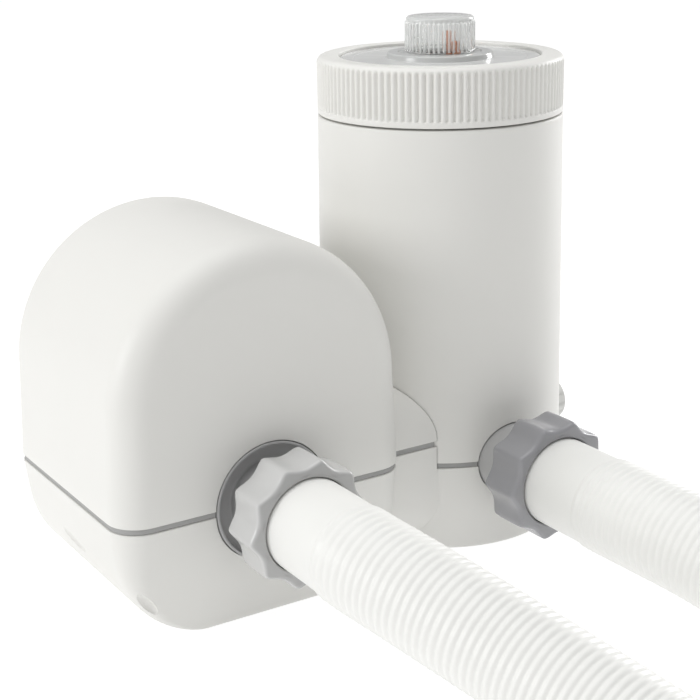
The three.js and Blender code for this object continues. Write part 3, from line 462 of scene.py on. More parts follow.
def arch_solid(name, skin, z0, steps=14, arc=72):
    """The power unit above z0, offset inward by skin, with rounded front and rear edges."""
    front, rear = FRONT + skin, REAR - skin
    front_r, rear_r = FRONT_R - skin, REAR_R - skin
    turn = [pi / 2 * i / steps for i in range(steps + 1)]
    # (inset, y) of each ring, front to rear
    stations = [(max(d, front_r), front) for d in (58, 46, 36, 28, 22, 18.5)]
    stations += [(front_r * (1 - sin(a)), front + front_r * (1 - cos(a))) for a in turn]
    stations += [(0, front + front_r + (rear - rear_r - front - front_r) * i / 8)
                 for i in range(1, 8)]
    stations += [(rear_r * (1 - sin(a)), rear - rear_r * (1 - cos(a))) for a in reversed(turn)]
    stations += [(max(d, rear_r), rear) for d in (14, 20, 28, 40, 58)]
    return loft(name, [arch(skin + inset, y, z0, arc) for inset, y in stations])


def plan(x0, x1, y0, y1, front_r, rear_r, z):
    """A rounded rectangle at height z with its straight sides split."""
    arcs = corners(x0, x1, y0, y1, rear_r, front_r, 14)
    points = []
    for i, arc in enumerate(arcs):
        points += arc + split(arc[-1], arcs[(i + 1) % 4][0], 6)
    return [(x, y, z) for x, y in points]


def base_half(z):
    """Half width of the tray: an arc below, tapered sides above."""
    if z >= ARC_R * (1 - sin(TAPER_ANGLE)):
        return HALF_SEAM - (SEAM_Z - z) * tan(TAPER_ANGLE)
    return ARC_DX + sqrt(max(ARC_R ** 2 - (ARC_R - z) ** 2, 0))


def tray_ring(z, level, inset, front_r, foot=0):
    """The tray's plan as it is at level, placed at z; foot draws in the front and rear."""
    half = base_half(level) - inset
    lean = (SEAM_Z - level) / SEAM_Z
    return plan(CASE_X - half, CASE_X + half, FRONT + FRONT_LEAN * lean + foot + inset,
                REAR - REAR_LEAN * lean - foot - inset, front_r - inset, REAR_R - inset, z)


def base_ring(z, skin=0.0):
    """A ring of the tray: 3 mm rounding at the foot, front corners that open out upward."""
    level = max(z - skin, 0.2)
    foot = 3 - sqrt(9 - (3 - level) ** 2) if level < 3 else 0
    return tray_ring(z, level, skin, 4 + (FRONT_R - 4) * min(level / 55, 1), foot)


def bridge_solid(name, skin, x0, x1):
    half = BRIDGE_HALF - skin
    arcs = corners(-half, half, FLOOR_Z + skin, BRIDGE_TOP - skin,
                   BRIDGE_TOP_R - skin, BRIDGE_FOOT_R - skin, 16)
    outline = sum(arcs, [])
    return loft(name, [[(x0 + (x1 - x0) * i / 8, y, z) for y, z in outline] for i in range(9)])


def can_r(z):
    return CAN_SEAM_R + (CAN_TOP_R - CAN_SEAM_R) * (z - CAN_SEAM_Z) / (CAN_TOP_Z - CAN_SEAM_Z)


def inlet_hole():
    return drum(30, -90, -50, on_port(INLET), 128)


def outlet_hole(r=19.85):
    return drum(r, -80, -50, on_port(OUTLET))


def drain_bore():
    return drum(5.9, 50, 90, on_drain, 40)


def scoop(centre, along, length, radius):
    """A spindle, longest along one direction, that cuts a shallow hollow."""
    axis = Vector(along).normalized()
    side = axis.cross(Vector((1, 0, 0))).normalized()
    up = axis.cross(side)
    rings = []
    for i in range(33):
        angle = pi * (0.02 + 0.96 * i / 32)
        middle = Vector(centre) + axis * (-cos(angle) * length)
        rings.append(circle(middle, side, up, radius * sin(angle), 40))
    return loft("tool", rings)


# ---- base tray ----
TRAY_LEVELS = (1, 1.15, 1.5, 2, 2.6, 3.3, 4.1, 5, 6.2, 7.6, 9.2, 11, 13, 15.2, 17.6, 20.2, 23, 26,
               29.2, 32.6, 36.4, 40.3, 44.3, 49, 54)
TRAY_RIM = ((0.55, 0.0), (0.3, 0.07), (0.1, 0.25), (0.0, 0.5))  # below the seam gap, inset
HOLLOW_LEVELS = (FLOOR_Z + WALL, 5, 6, 7.5, 9.5, 12, 15, 19, 24, 30, 37, 46, 55, 64)
FOOT_RECESSES = ((-160, -40, 8.5), (-160, 36, 8.5), (0, 0, 40.5))  # x, y, radius
POSTS = ((-185, -50), (-106, -50), (-185, 44), (-106, 44))  # x, y

rings = [base_ring(z) for z in TRAY_LEVELS]
rings += [tray_ring(SEAM_LO - drop, SEAM_LO - drop, inset, FRONT_R) for drop, inset in TRAY_RIM]
tray = loft("base_tray_shell", rings)
bridge_low = bridge_solid("tool", 0, -120, -30)
cut(bridge_low, plain_box(-200, 0, -90, 90, SEAM_LO, 130))
can_low = revolve("tool", fillet([
    (0, FLOOR_Z), (CAN_FLOOR_R, FLOOR_Z, 2.2), (can_r(CAN_SEAM_LO), CAN_SEAM_LO, 0.5),
    (0, CAN_SEAM_LO)], closed=False, seg=5), CAN_SEGMENTS, closed=False)
join(tray, bridge_low, can_low)
drain_boss = revolve("tool", fillet([(0, 58), (10.5, 58), (10.5, 76, 0.8), (0, 76)], closed=False),
                     64, on_drain, closed=False)
join(tray, cut(drain_boss, plain_box(40, 100, -40, 60, CAN_SEAM_LO, 80)))
cut(tray, drum(CAN_CLEAR_R, CAN_SEAM_LO, 120, on_z(), CAN_SEGMENTS))
# hollow out the three volumes
bridge_hollow = bridge_solid("tool", WALL, -112, -40)
cut(bridge_hollow, drum(CAN_SEAM_R, -10, 150, on_z(), CAN_SEGMENTS))
cut(tray,
    loft("tool", [base_ring(z, WALL) for z in HOLLOW_LEVELS]),
    bridge_hollow,
    revolve("tool", [(0, FLOOR_Z + WALL), (CAN_FLOOR_R - WALL, FLOOR_Z + WALL),
                     (CAN_SEAM_R - WALL, 90), (0, 90)], CAN_SEGMENTS, closed=False))
for x, y, r in FOOT_RECESSES:
    cut(tray, drum(r, -2, 1.8, on_z(x, y)))
# posts with a stepped bore, open underneath
for x, y in POSTS:
    join(tray, drum(5.6, 3.2, SEAM_LO, on_z(x, y), 32))
    cut(tray, drum(4.8, -2, 9, on_z(x, y), 40), drum(2.4, 8, 70, on_z(x, y), 32))
cut(tray, inlet_hole(), outlet_hole(), drain_bore(), drum(7.3, 50, 75, on_port(GLAND), 48))
# shallow scoops in the left side and the lower front-left corner
cut(tray,
    scoop(centre=(-221.1, -4.5, 33.7), along=(0, 27.7, 4), length=16, radius=3.2),
    scoop(centre=(-211.0, -65.5, 22.4), along=(10, -0.8, -13.2), length=8.6, radius=3.3))
tidy(tray)
piece(tray, "root", "shell_plastic", "base_tray")


# ---- power unit cover, with its opening for the panel ----
def grown(rect):
    x0, x1, z0, z1 = rect
    return x0 - PANEL_PLAY, x1 + PANEL_PLAY, z0 - PANEL_PLAY, z1 + PANEL_PLAY


cover = arch_solid("power_cover_shell", 0, SEAM_HI)
cut(cover, arch_solid("tool", WALL, SEAM_HI - 6, 6, 40))
cut(cover, inlet_hole())
opening = grown(PANEL_PLUG)
cut(cover, plain_box(*opening[:2], 50, 70, *opening[2:]))
tidy(cover)
piece(cover, "root", "shell_plastic", "power_cover")

# ---- bridge cover, trimmed to the seam, the canister and the power unit ----
bridge = bridge_solid("bridge_cover_shell", 0, -76, -30)
cut(bridge, bridge_solid("tool", WALL, -80, -25))
cut(bridge,
    plain_box(-90, 0, -80, 80, -10, SEAM_HI),
    drum(CAN_CLEAR_R, -10, 150, on_z(), CAN_SEGMENTS),
    loft("tool", [arch(-0.3, y, 40, 72) for y in (-80, 80)]))
tidy(bridge)
piece(bridge, "root", "shell_plastic", "bridge_cover")


# ================= turned surface details =================
def thread(angle, h, low, high, runout=1.5, hand=1):
    """(strength, wave) of a thread that fades out over runout at low and high."""
    fade = min((h - low) / runout, (high - h) / runout, 1.0)
    return fade, cos(2 * pi * (h / THREAD_PITCH - hand * angle / (2 * pi)))


def step01(x):
    x = max(0.0, min(1.0, x))
    return x * x * (3 - 2 * x)


def grooves(angle, h, count, power, low, low_run, high, high_run):
    """Depth, 0 to 1, of upright grooves that fade in above low and out below high."""
    wave = (0.5 + 0.5 * cos(count * angle)) ** power
    return wave * step01((h - low) / low_run) * step01((high - h) / high_run)


# ---- canister ----
def neck_radius(angle, r, h):
    if 224.5 < h < 241.0 and r > 57.0:
        fade, wave = thread(angle, h, 224.5, 241.0)
        return r - 0.55 + 0.75 * fade * max(0.0, wave) ** 0.7
    return r


def can_splits(a, b):
    if abs(a[0] - NECK_R) < 0.05 and dist(a, b) > 5:
        return [(NECK_R, h) for _, h in split(a, b, 44)]
    return split(a, b, 12) if dist(a, b) > 40 else []


# radius, height, corner radius; up the outside and down the inside
CAN_PROFILE = [
    (can_r(CAN_SEAM_HI), CAN_SEAM_HI, 0.5), (CAN_TOP_R, CAN_TOP_Z, 1.0), (NECK_R, CAN_TOP_Z, 0.4),
    (NECK_R, 242.0, 0.8), (54.2, 242.0, 0.6), (54.2, 219.0, 0.5), (CAN_TOP_R - WALL, 210.0, 2.0),
    (can_r(CAN_SEAM_HI) - WALL, CAN_SEAM_HI)]
can = revolve("canister_body", insert(fillet(CAN_PROFILE, seg=4), can_splits), CAN_SEGMENTS,
              radius=neck_radius)
cut(can, outlet_hole(), drum(10.9, 58, 90, on_drain, 64))
tidy(can)
piece(can, "root", "shell_plastic", "canister_shell")


# ---- seam seals ----
def seam_ring(inset, z):
    return plan(CASE_X - HALF_SEAM + inset, CASE_X + HALF_SEAM - inset, FRONT + inset,
                REAR - inset, FRONT_R - inset, REAR_R - inset, z)


SEAL_SECTION = ((1.15, -1.5), (0.85, -1.0), (0.8, 0), (0.85, 1.0), (1.15, 1.5))  # inset, height
SEAL_INNER = 2.9
seal = loft("case_seal_band", [seam_ring(inset, SEAM_Z + rise) for inset, rise in SEAL_SECTION])
# the middle goes, and the run across the inlet
cut(seal, join(loft("tool", [seam_ring(SEAL_INNER, SEAM_Z + rise) for rise in (-4, 4)]),
               plain_box(CASE_X - 29.95, CASE_X + 29.95, -80, -60, SEAM_Z - 3.5, SEAM_Z + 3.5)))
for side in (-1, 1):
    y0, y1 = sorted((side * (BRIDGE_HALF - 0.8), side * (BRIDGE_HALF - SEAL_INNER)))
    join(seal, plain_box(-72, -30, y0, y1, SEAM_Z - 1.5, SEAM_Z + 1.5))
cut(seal, drum(CAN_SEAM_R + 0.5, 0, 120, on_z(), CAN_SEGMENTS))
tidy(seal)
piece(seal, "root", "seal_grey", "case_seal")

can_seal = revolve("canister_seal_band", fillet([
    (62.7, CAN_SEAM_Z - 1.35), (64.85, CAN_SEAM_Z - 1.35, 0.4), (64.85, CAN_SEAM_Z + 1.35, 0.4),
    (62.7, CAN_SEAM_Z + 1.35)], seg=3), CAN_SEGMENTS)
cut(can_seal, outlet_hole(19.9), drain_bore())
tidy(can_seal)
piece(can_seal, "root", "seal_grey", "canister_seal")

# ---- collar: grooved outside, threaded inside ----
COLLAR_RIBS, COLLAR_R = 112, 64.0
COLLAR_PROFILE = [  # radius, height, corner radius
    (COLLAR_R, 222.9, 0.5), (COLLAR_R, 252.0, 3.6), (52.6, 252.0, 0.7), (52.6, 248.4, 0.3),
    (58.2, 248.4), (58.2, 222.9, 0.8)]
# heights of the rings up the outside, closest where the grooves fade
COLLAR_RINGS = (223.6, 224.6, 225.4, 225.7, 226.0, 226.3, 226.6, 228, 230, 233, 237, 241, 244,
                246, 247.2, 247.9)


def collar_radius(angle, r, h):
    if r > 62.2:
        return r - 1.5 * grooves(angle, h, COLLAR_RIBS, power=1.7,
                                 low=225.5, low_run=1.1, high=250.3, high_run=1.6)
    if 57.9 < r < 58.5 and 226 < h < 247:
        fade, wave = thread(angle, h, 226, 247)
        return r + 0.45 * fade * max(0.0, wave)
    return r


def collar_splits(a, b):
    if dist(a, b) <= 15:
        return []
    return [(COLLAR_R, h) for h in COLLAR_RINGS] if a[0] > 60 else split(a, b, 40)


collar = revolve("collar_ring_ribbed", insert(fillet(COLLAR_PROFILE, seg=8), collar_splits),
                 COLLAR_RIBS * 12, radius=collar_radius)
piece(collar, "collar_ring", "collar_plastic", "collar", angle=50, weighted=False)


# ---- lid with its boss and neck ----
def centre_of(polygon):
    """Radius and height of a polygon's centre."""
    x, y, z = polygon.center
    return hypot(x, y) / MM, z / MM


LID_PROFILE = [  # radius, height, corner radius
    (12.3, 243.0, 0.2), (50.5, 243.0), (50.5, 239.0, 0.4), (53.5, 239.0, 0.4), (53.5, 244.6),
    (57.2, 244.6, 0.4), (57.2, 247.2, 0.4), (52.1, 247.2, 0.3), (52.1, 250.5, 0.8),
    (45.5, 250.5, 1.0), (44.7, 250.1, 1.0), (27.9, 250.1, 0.5), (27.1, 253.0, 1.0),
    (21.8, 253.2, 0.6), (21.0, 252.4, 0.5), (19.6, 252.4, 0.5), (15.6, 252.8, 0.4),
    (15.6, 260, 0.4), (13.2, 260, 0.3), (13.2, 252, 0.2), (12.3, 252, 0.2)]
lid = revolve("lid_disc", fillet(LID_PROFILE, seg=6), 160)
piece(lid, "lid_cell", "lid_smoke", "lid", angle=40)
lid.data.materials.append(MATERIALS["lid_boss"])
lid.data.materials.append(MATERIALS["lid_neck_clear"])
for polygon in lid.data.polygons:
    r, h = centre_of(polygon)
    if r < 28.4 and h > 250.0:
        polygon.material_index = 2 if r < 15.9 and h > 252.9 else 1

# ---- vent cap ----
CAP_RIBS, CAP_R = 44, 18.2
CAP_PROFILE = [  # radius, height, corner radius
    (0, 271.0), (17.3, 271.0, 1.3), (17.55, 268.5, 0.3), (CAP_R, 267.9, 0.5), (CAP_R, 253.4, 0.3),
    (16.0, 253.4, 0.3), (15.7, 268.9, 1.0), (0, 269.1)]
CAP_RINGS = (267.0, 266.2, 265.0, 262, 259, 256, 255, 254.6, 254.2, 253.9)  # heights


def cap_radius(angle, r, h):
    if r > 17.0 and h < 269.4:
        return r - 1.0 * grooves(angle, h, CAP_RIBS, power=1.2,
                                 low=254.0, low_run=0.8, high=269.2, high_run=1.4)
    return r


def cap_splits(a, b):
    on_side = a[0] > 18.0 and b[0] > 18.0 and a[1] - b[1] > 5
    return [(CAP_R, h) for h in CAP_RINGS] if on_side else []


cap = revolve("vent_cap_knob", insert(fillet(CAP_PROFILE, closed=False), cap_splits, closed=False),
              CAP_RIBS * 12, radius=cap_radius, closed=False)
piece(cap, "vent_knob", "cap_clear", "vent_cap", angle=40, weighted=False)
# painted highlight: the rib crests and the cap's top rim take the milky white finish instead of the
# clear one
cap.data.materials.append(MATERIALS["cap_rib_painted_highlight"])
for polygon in cap.data.polygons:
    r, h = centre_of(polygon)
    crest = cos(CAP_RIBS * atan2(polygon.center.y, polygon.center.x)) < -0.25
    if (r > 16.5 and h > 268.2) or h > 270.5 or (r > 16.8 and 254 < h < 268.4 and crest):
        polygon.material_index = 1

# ---- union nuts ----
NUT_PROFILE = [  # radius, y, corner radius
    (30.9, -105.2, 2.4), (31.1, -98.0), (31.0, -88.0), (30.7, -82.0, 1.8), (25.1, -82.0, 0.8),
    (25.1, -96.3, 0.3), (23.0, -96.3, 0.3), (23.0, -104.4, 0.2), (23.7, -105.2, 0.2)]
NUT_LOBES, NUT_LOBE_DEPTH = 10, 31.1 - 27.9
NUT_TIP_ROUNDING = 0.40  # softens the crest of each lobe


def nut(name, at, phase, body, material, node):
    soft = NUT_TIP_ROUNDING
    top = sqrt(1 + soft * soft) - soft

    def shape(angle, r, h):
        swing = sin(pi * (angle - phase) / (2 * pi / NUT_LOBES))
        dip = (sqrt(swing ** 2 + soft * soft) - soft) / top
        return r - NUT_LOBE_DEPTH * (dip ** 0.85) * step01((r - 24.5) / 4.0)

    ob = revolve(name, dense(fillet(NUT_PROFILE, seg=6), 1.4), NUT_LOBES * 28, on_port(at),
                 radius=shape)
    piece(ob, body, "nut_grey", node, angle=50, weighted=False, material=material)


nut("inlet_union_nut", INLET, radians(5), "inlet_ring", "nut_grey", "inlet_nut")
# the outlet nut takes the darker painted-shade copy of the nut grey
nut("outlet_union_nut", OUTLET, radians(1.9), "outlet_ring", "nut_grey_painted_shade", "outlet_nut")

# ---- ports ----
# radius, y, corner radius; the threaded spigot is common, the inner end differs
SPIGOT = [(15, -90, 0.5), (24.2, -90, 0.6), (24.2, -80, 0.4), (19.2, -78, 0.5)]
INLET_FITTING = [(15, -59), *SPIGOT, (19.2, -64, 1.0), (28.2, -64, 1.0), (28.2, -70.5, 0.4),
                 (29.5, -70.5, 0.4), (29.5, -59)]
OUTLET_FITTING = [(15, -54), *SPIGOT, (19.2, -57, 0.4), (23, -57), (23, -54)]


def port_radius(angle, r, y):
    if 23.6 < r < 26 and -89.4 < y < -80.6:
        fade, wave = thread(angle, y, -89.4, -80.6, runout=1.0, hand=-1)
        return r - 0.5 + 0.5 * fade * (0.5 + 0.5 * wave)
    return r


for name, profile, at, node in (
        ("inlet_port_fitting", INLET_FITTING, INLET, "inlet_port"),
        ("outlet_port_fitting", OUTLET_FITTING, OUTLET, "outlet_port")):
    fitting = revolve(name, dense(fillet(profile, seg=4), 0.7), 128, on_port(at),
                      radius=port_radius)
    piece(fitting, "root", "port_dark", node, angle=45, weighted=False)


# ---- hoses ----
def catmull(points, per):
    """Centripetal Catmull-Rom through the points, with per steps to a span."""
    knots = [Vector(p) for p in points]
    padded = [knots[0] * 2 - knots[1]] + knots + [knots[-1] * 2 - knots[-2]]
    out = []
    for i in range(len(knots) - 1):
        p0, p1, p2, p3 = padded[i:i + 4]
        d0, d1, d2 = [max(((b - a).length_squared) ** 0.25, 1e-4)
                      for a, b in ((p0, p1), (p1, p2), (p2, p3))]
        leave = ((p1 - p0) / d0 - (p2 - p0) / (d0 + d1) + (p2 - p1) / d1) * d1
        arrive = ((p2 - p1) / d1 - (p3 - p1) / (d1 + d2) + (p3 - p2) / d2) * d1
        for k in range(per):
            t = k / per
            out.append(p1 * (2 * t ** 3 - 3 * t ** 2 + 1) + leave * (t ** 3 - 2 * t ** 2 + t)
                       + p2 * (-2 * t ** 3 + 3 * t ** 2) + arrive * (t ** 3 - t ** 2))
    out.append(knots[-1])
    return out


HOSE_R, HOSE_BORE_R = 22.5, 19.6
CUFF = 48.0  # plain length at each end, before the corrugations
CUFF_STRAIGHT, CUFF_BLEND = 30, 14  # end rings face along Y, then turn to the line
RIDGE_R, RIDGE_HEIGHT, RIDGE_STEPS = 22.95, 0.58, 10


def hose_profile(total):
    """(radius, distance along): out along the outside, back along the bore."""
    first, last = CUFF, total - CUFF
    flange = fillet([(24.4, 0.0), (24.4, 3.3, 0.6), (HOSE_R, 3.3, 0.6), (HOSE_R, 20.0)],
                    closed=False, seg=4)
    outer = [(HOSE_BORE_R, 0.0), (23.8, 0.0), *flange[1:]]
    outer += [(HOSE_R, 30), (HOSE_R, 38), (HOSE_R, 44.6), (22.3, 45.8), (22.4, 46.7), (23.0, 47.3),
              (23.45, 48.0), (23.5, 49.2), (23.2, 50.2)]
    start = first + 3.0
    count = int((last - start) // 4.0)
    pitch = (last - start) / count
    for k in range(count):
        for j in range(RIDGE_STEPS):
            part = j / RIDGE_STEPS
            bulge = 0.5 - 0.5 * cos(2 * pi * part)
            outer.append((RIDGE_R + RIDGE_HEIGHT * bulge ** 0.8, start + (k + part) * pitch))
    outer += [(RIDGE_R, last), (23.3, last + 0.9), (23.0, last + 1.8), (22.45, last + 2.6),
              (22.4, last + 4), (HOSE_R, last + 6), (HOSE_R, total - 20), (HOSE_R, total - 1.0),
              (22.2, total - 0.3), (21.6, total)]
    inner = [(19.9, total)] + [(HOSE_BORE_R, total - back) for back in (0.4, 20, 46)]
    s = total - 52
    while s > 54:
        inner.append((HOSE_BORE_R + 0.5 * (0.5 - 0.5 * cos(2 * pi * s / 4.0)), s))
        s -= 1.0
    return outer + inner + [(HOSE_BORE_R, s) for s in (50, 28, 6)]


def hose(name, points, body, node):
    line = catmull(points, 24)
    along = [0.0]
    for a, b in zip(line, line[1:]):
        along.append(along[-1] + (b - a).length)
    total = along[-1]

    def at(s):
        s = max(0.0, min(total, s))
        i = min(bisect_right(along, s) - 1, len(along) - 2)
        return line[i].lerp(line[i + 1], (s - along[i]) / max(along[i + 1] - along[i], 1e-9))

    def axes_at(s):
        """Sideways and upward directions of the ring at s."""
        ahead = Vector((0, -1, 0))
        from_end = min(s - CUFF_STRAIGHT, total - CUFF_STRAIGHT - s)
        if from_end >= 0:
            k = min(from_end / CUFF_BLEND, 1.0)
            tangent = (at(s + 1.5) - at(s - 1.5)).normalized()
            ahead = (ahead * (1 - k) + tangent * k).normalized()
        up = ahead.cross(Vector((1, 0, 0))).normalized()
        return up.cross(ahead).normalized(), up

    rings = [circle(at(s), *axes_at(s), r, 112) for r, s in hose_profile(total)]
    ob = loft(name, rings, closed_along=True)
    piece(ob, body, "hose_white", node, angle=60, weighted=False)


# centre lines: x, y, z
INLET_LINE = [
    (CASE_X, -92.6, SEAM_Z), (CASE_X, -110, SEAM_Z), (CASE_X, -125, SEAM_Z), (-144.4, -147, 59.6),
    (-140, -170, 56.6), (-132.5, -198, 51), (-123, -230, 43.5), (-113, -268, 35),
    (-106.5, -298, 29), (-105, -315, 26.4), (-105, -330, 25.4), (-105, -345, 25.4)]
OUTLET_LINE = [
    (0, -92.6, CAN_SEAM_Z), (0, -110, CAN_SEAM_Z), (0, -140, CAN_SEAM_Z), (1.5, -170, 47.6),
    (4.5, -200, 45.6), (9, -235, 40), (13, -268, 33), (16, -298, 27.6), (17, -315, 25.9),
    (17, -330, 25.4), (17, -345, 25.4)]
hose("inlet_hose_line", INLET_LINE, "inlet_coupling", "inlet_hose")
hose("outlet_hose_line", OUTLET_LINE, "outlet_coupling", "outlet_hose")

# ---- drain plug ----
PLUG_PROFILE = [  # radius, distance from the canister's axis, corner radius
    (0, 92.0), (4.5, 92.0, 0.3), (5.2, 91.3, 0.4), (11.2, 91.3, 0.6), (12.0, 92.0, 0.6),
    (13.6, 92.0, 1.6), (13.6, 78.6, 0.9), (5.4, 78.6, 0.3), (5.4, 58, 0.6), (0, 58)]


def plug_radius(angle, r, h):
    if r > 12.0 and h > 80.0:
        return r - 0.8 * grooves(angle, h, 16, power=2,
                                 low=80.0, low_run=1.0, high=91.2, high_run=1.5)
    return r


plug = revolve("drain_plug_knob", dense(fillet(PLUG_PROFILE, closed=False), 1.6, closed=False),
               192, on_drain, radius=plug_radius, closed=False)
piece(plug, "drain_knob", "cell_plastic", "drain_plug", angle=45, weighted=False)


# ---- rear panel, keys, window ----
def round_rect(x0, x1, z0, z1, r, y):
    return [(x, y, z) for x, z in sum(corners(x0, x1, z0, z1, r, r, 10), [])]


def pad(name, rect, r, y0, y1, edge):
    """A rounded slab facing +Y, its rear edge rolled over by edge."""
    x0, x1, z0, z1 = rect
    rings = [round_rect(*rect, r, y0)]
    for i in range(6):
        angle = pi / 2 * i / 5
        d = edge * (1 - cos(angle))
        rings.append(round_rect(x0 + d, x1 - d, z0 + d, z1 - d, max(r - d, 0.4),
                                y1 - edge + edge * sin(angle)))
    return loft(name, rings)


KEYS = (("power_key_cap", -168, "power_key", "power_button"),
        ("boost_key_cap", -148, "boost_key", "boost_button"))  # name, x, body, node
KEY_PROFILE = [  # radius, y, corner radius
    (0, 52.5), (6.0, 52.5, 0.3), (6.0, 65.2, 1.0), (3.6, 65.0, 1.2), (0, 64.6)]

panel = pad("panel_bezel_plate", (-192, -99.2, 94, 144), r=6, y0=61.3, y1=63.4, edge=0.9)
join(panel, pad("tool", PANEL_PLUG, r=2, y0=56.5, y1=62, edge=0.2))
cut(panel, pad("tool", (-180, -111, 104, 134), r=5, y0=62.7, y1=66, edge=0.05))
for _, x, _, _ in KEYS:
    cut(panel, drum(6.5, 50, 70, on_port((x, KEY_Z)), 64))
cut(panel, loft("tool", [round_rect(*grown(LENS), 1.5, y) for y in (50, 70)]))
tidy(panel)
piece(panel, "root", "panel_grey", "panel_bezel")
for name, x, body, node in KEYS:
    key = revolve(name, fillet(KEY_PROFILE, closed=False, seg=6), 64, on_port((x, KEY_Z)),
                  closed=False)
    piece(key, body, "button_soft", node, angle=40)
lens = pad("status_window", LENS, r=1.4, y0=57, y1=63.9, edge=0.7)
piece(lens, "root", "lens_smoke", "status_lens")

# ---- cord gland: a turned body with a hexagon round it ----
GLAND_PROFILE = [  # radius, y, corner radius
    (3.8, 54), (6.9, 54, 0.3), (6.9, 61.0), (8.6, 61.0, 0.4), (8.6, 64.5, 0.6), (6.9, 65.2, 0.3),
    (6.4, 72, 1.2), (3.8, 72, 0.5)]
HEX_R = 10.2
HEX_SECTION = ((60.9, 0.95), (61.3, 1.0), (64.0, 1.0), (64.5, 0.95))  # y, share of HEX_R
gland = revolve("cord_gland_body", fillet(GLAND_PROFILE, seg=4), 96, on_port(GLAND))
hexagon = loft("tool", [
    [(GLAND[0] + HEX_R * k * cos(pi / 3 * i), y, GLAND[1] + HEX_R * k * sin(pi / 3 * i))
     for i in range(6)] for y, k in HEX_SECTION])
cut(hexagon, drum(5.0, 40, 90, on_port(GLAND), 48))
join(gland, hexagon)
tidy(gland)
piece(gland, "root", "terminal_black", "cord_gland", material="gland_grey")

# ---- mains cord ----
CORD_R = 3.4
CORD_LINE = [(-120, 45, 30), (-120, 60, 30), (-120, 76, 29.6), (-119, 92, 24), (-117, 108, 13),
             (-115, 124, 6.5), (-113, 140, 5.0)]  # x, y, z
line = catmull(CORD_LINE, 10)
rings = []
for i, point in enumerate(line):
    ahead = (line[min(i + 1, len(line) - 1)] - line[max(i - 1, 0)]).normalized()
    side = ahead.cross(Vector((1, 0, 0))).normalized()
    other = side.cross(ahead).normalized()
    # (radius, shift along the cord); both ends are chamfered
    sections = [(CORD_R, 0.0)]
    if i == 0:
        sections = [(CORD_R * 0.8, 0.0), (CORD_R, 0.35)]
    elif i == len(line) - 1:
        sections = [(CORD_R, -0.35), (CORD_R * 0.8, 0.0)]
    rings += [circle(point + ahead * shift, other, side, r, 32) for r, shift in sections]
cord = loft("mains_cord_lead", rings)
piece(cord, "root", "cord_grey", "mains_cord", angle=40)

# ================= CAD nodes that stay, by material =================
KEPT_NODES = {
    "washer_plastic": "slip_washer",
    "seal_rubber": "lid_o_ring pipe_o_ring_inlet pipe_o_ring_canister inlet_washer outlet_washer "
                   "drain_seal",
    "seal_clear": "vent_cap_seal",
    "terminal_black": "terminal_block reed_sensor",
    "blade_copper": "terminal_blade_a terminal_blade_b",
    "cell_plastic": "cell_top_plate cell_bottom_plate contact_socket transfer_pipe flow_chamber "
                    "flow_paddle",
    "electrode_metal": "electrode_plate_1 electrode_plate_2 electrode_plate_3 electrode_plate_4",
    "titanium": "bus_bar_a bus_bar_b",
    "steel": "paddle_pin case_screw_1 case_screw_2 case_screw_3 case_screw_4",
    "core_iron": "transformer_core",
    "coil_copper": "transformer_coil",
    "board_green": "control_board",
    "sink_aluminium": "heat_sink",
    "cord_grey": "cell_lead",
    "foot_rubber": "foot_front_left foot_rear_left foot_canister",
}
for material, nodes in KEPT_NODES.items():
    for node in nodes.split():
        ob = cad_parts[node]
        if not ob.material_slots:
            ob.data.materials.append(MATERIALS[material])
        for slot in ob.material_slots:
            slot.link = "OBJECT"
            slot.material = MATERIALS[material]
        shade(ob, 40)
        bevel = ob.modifiers.new("edge", "BEVEL")
        bevel.width, bevel.segments = 0.22 * MM, 2
        bevel.limit_method, bevel.angle_limit = "ANGLE", radians(50)


# ================= studio (metres) =================
def camera_ray_mix(tree):
    """A shader mix: its first input lights the scene, its second is what the camera sees."""
    mix = tree.nodes.new("ShaderNodeMixShader")
    is_camera = tree.nodes.new("ShaderNodeLightPath").outputs["Is Camera Ray"]
    tree.links.new(is_camera, mix.inputs[0])
    return mix


# ---- floor: bounces light as a pale sweep, seen near white with a faint contact shadow ----
bpy.ops.mesh.primitive_plane_add(size=60, location=(0, 0, 0))
floor = bpy.context.object
floor.name = "studio_floor"
floor_material = bpy.data.materials.new("studio_floor")
floor_material.use_nodes = True
tree = floor_material.node_tree
tree.nodes.clear()
output = tree.nodes.new("ShaderNodeOutputMaterial")
mix = camera_ray_mix(tree)
# mix input, diffuse grey, emission strength
for socket, grey, glow in ((1, 0.62, 0.48), (2, 0.34, 0.84)):
    both = tree.nodes.new("ShaderNodeAddShader")
    diffuse = tree.nodes.new("ShaderNodeBsdfDiffuse")
    diffuse.inputs["Color"].default_value = (grey, grey, grey, 1)
    emission = tree.nodes.new("ShaderNodeEmission")
    emission.inputs["Strength"].default_value = glow
    tree.links.new(diffuse.outputs[0], both.inputs[0])
    tree.links.new(emission.outputs[0], both.inputs[1])
    tree.links.new(both.outputs[0], mix.inputs[socket])
tree.links.new(mix.outputs[0], output.inputs["Surface"])
floor.data.materials.append(floor_material)

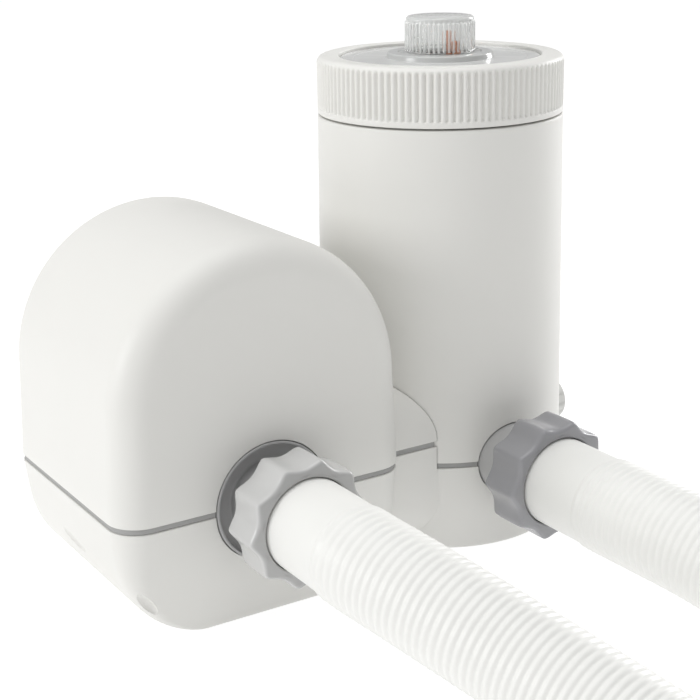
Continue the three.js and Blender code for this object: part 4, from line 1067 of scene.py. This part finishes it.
# ---- world: dimmer as a light than as a backdrop ----
world = bpy.data.worlds.new("studio")
bpy.context.scene.world = world
world.use_nodes = True
tree = world.node_tree
lighting = tree.nodes["Background"]
backdrop = tree.nodes.new("ShaderNodeBackground")
mix = camera_ray_mix(tree)
for socket, background, strength in ((1, lighting, 0.445), (2, backdrop, 1.0)):
    background.inputs["Color"].default_value = (1.0, 1.0, 1.0, 1)
    background.inputs["Strength"].default_value = strength
    tree.links.new(background.outputs[0], mix.inputs[socket])
tree.links.new(mix.outputs[0], tree.nodes["World Output"].inputs["Surface"])


# ---- lights ----
def area(name, place, target, size, power):
    light = bpy.data.lights.new(name, "AREA")
    light.shape = "RECTANGLE"
    light.size, light.size_y = size
    light.energy = power
    ob = bpy.data.objects.new(name, light)
    ob.location = place
    ob.rotation_mode = "QUATERNION"
    ob.rotation_quaternion = (Vector(target) - Vector(place)).to_track_quat("-Z", "Y")
    bpy.context.scene.collection.objects.link(ob)


area("key_left", place=(-2.6, 0.55, 0.85), target=(-0.08, 0.0, 0.10), size=(1.0, 0.9), power=22.5)
area("top", place=(-0.2, 0.1, 2.2), target=(-0.06, -0.02, 0.0), size=(2.0, 2.0), power=25)
area("rim_right", place=(2.0, 0.35, 0.75), target=(0.0, 0.0, 0.12), size=(0.7, 1.0), power=19.5)

# ---- camera: heading from +Y towards +X, downward pitch, roll ----
HEADING, PITCH, ROLL = radians(31.822), radians(17.552), radians(-1.035)
EYE = (-0.46690, -0.65888, 0.34649)
forward = Vector((sin(HEADING) * cos(PITCH), cos(HEADING) * cos(PITCH), -sin(PITCH)))
level_right = Vector((cos(HEADING), -sin(HEADING), 0))
level_up = level_right.cross(forward)
right = level_right * cos(ROLL) + level_up * sin(ROLL)
up = -level_right * sin(ROLL) + level_up * cos(ROLL)
lens_data = bpy.data.cameras.new("camera")
lens_data.sensor_width, lens_data.lens = 36.0, 79.18
lens_data.clip_start, lens_data.clip_end = 0.02, 60
camera = bpy.data.objects.new("camera", lens_data)
bpy.context.scene.collection.objects.link(camera)
camera.matrix_world = Matrix((*zip(right, up, -forward, EYE), (0, 0, 0, 1)))
bpy.context.scene.camera = camera
bpy.context.scene.view_settings.view_transform = "Standard"
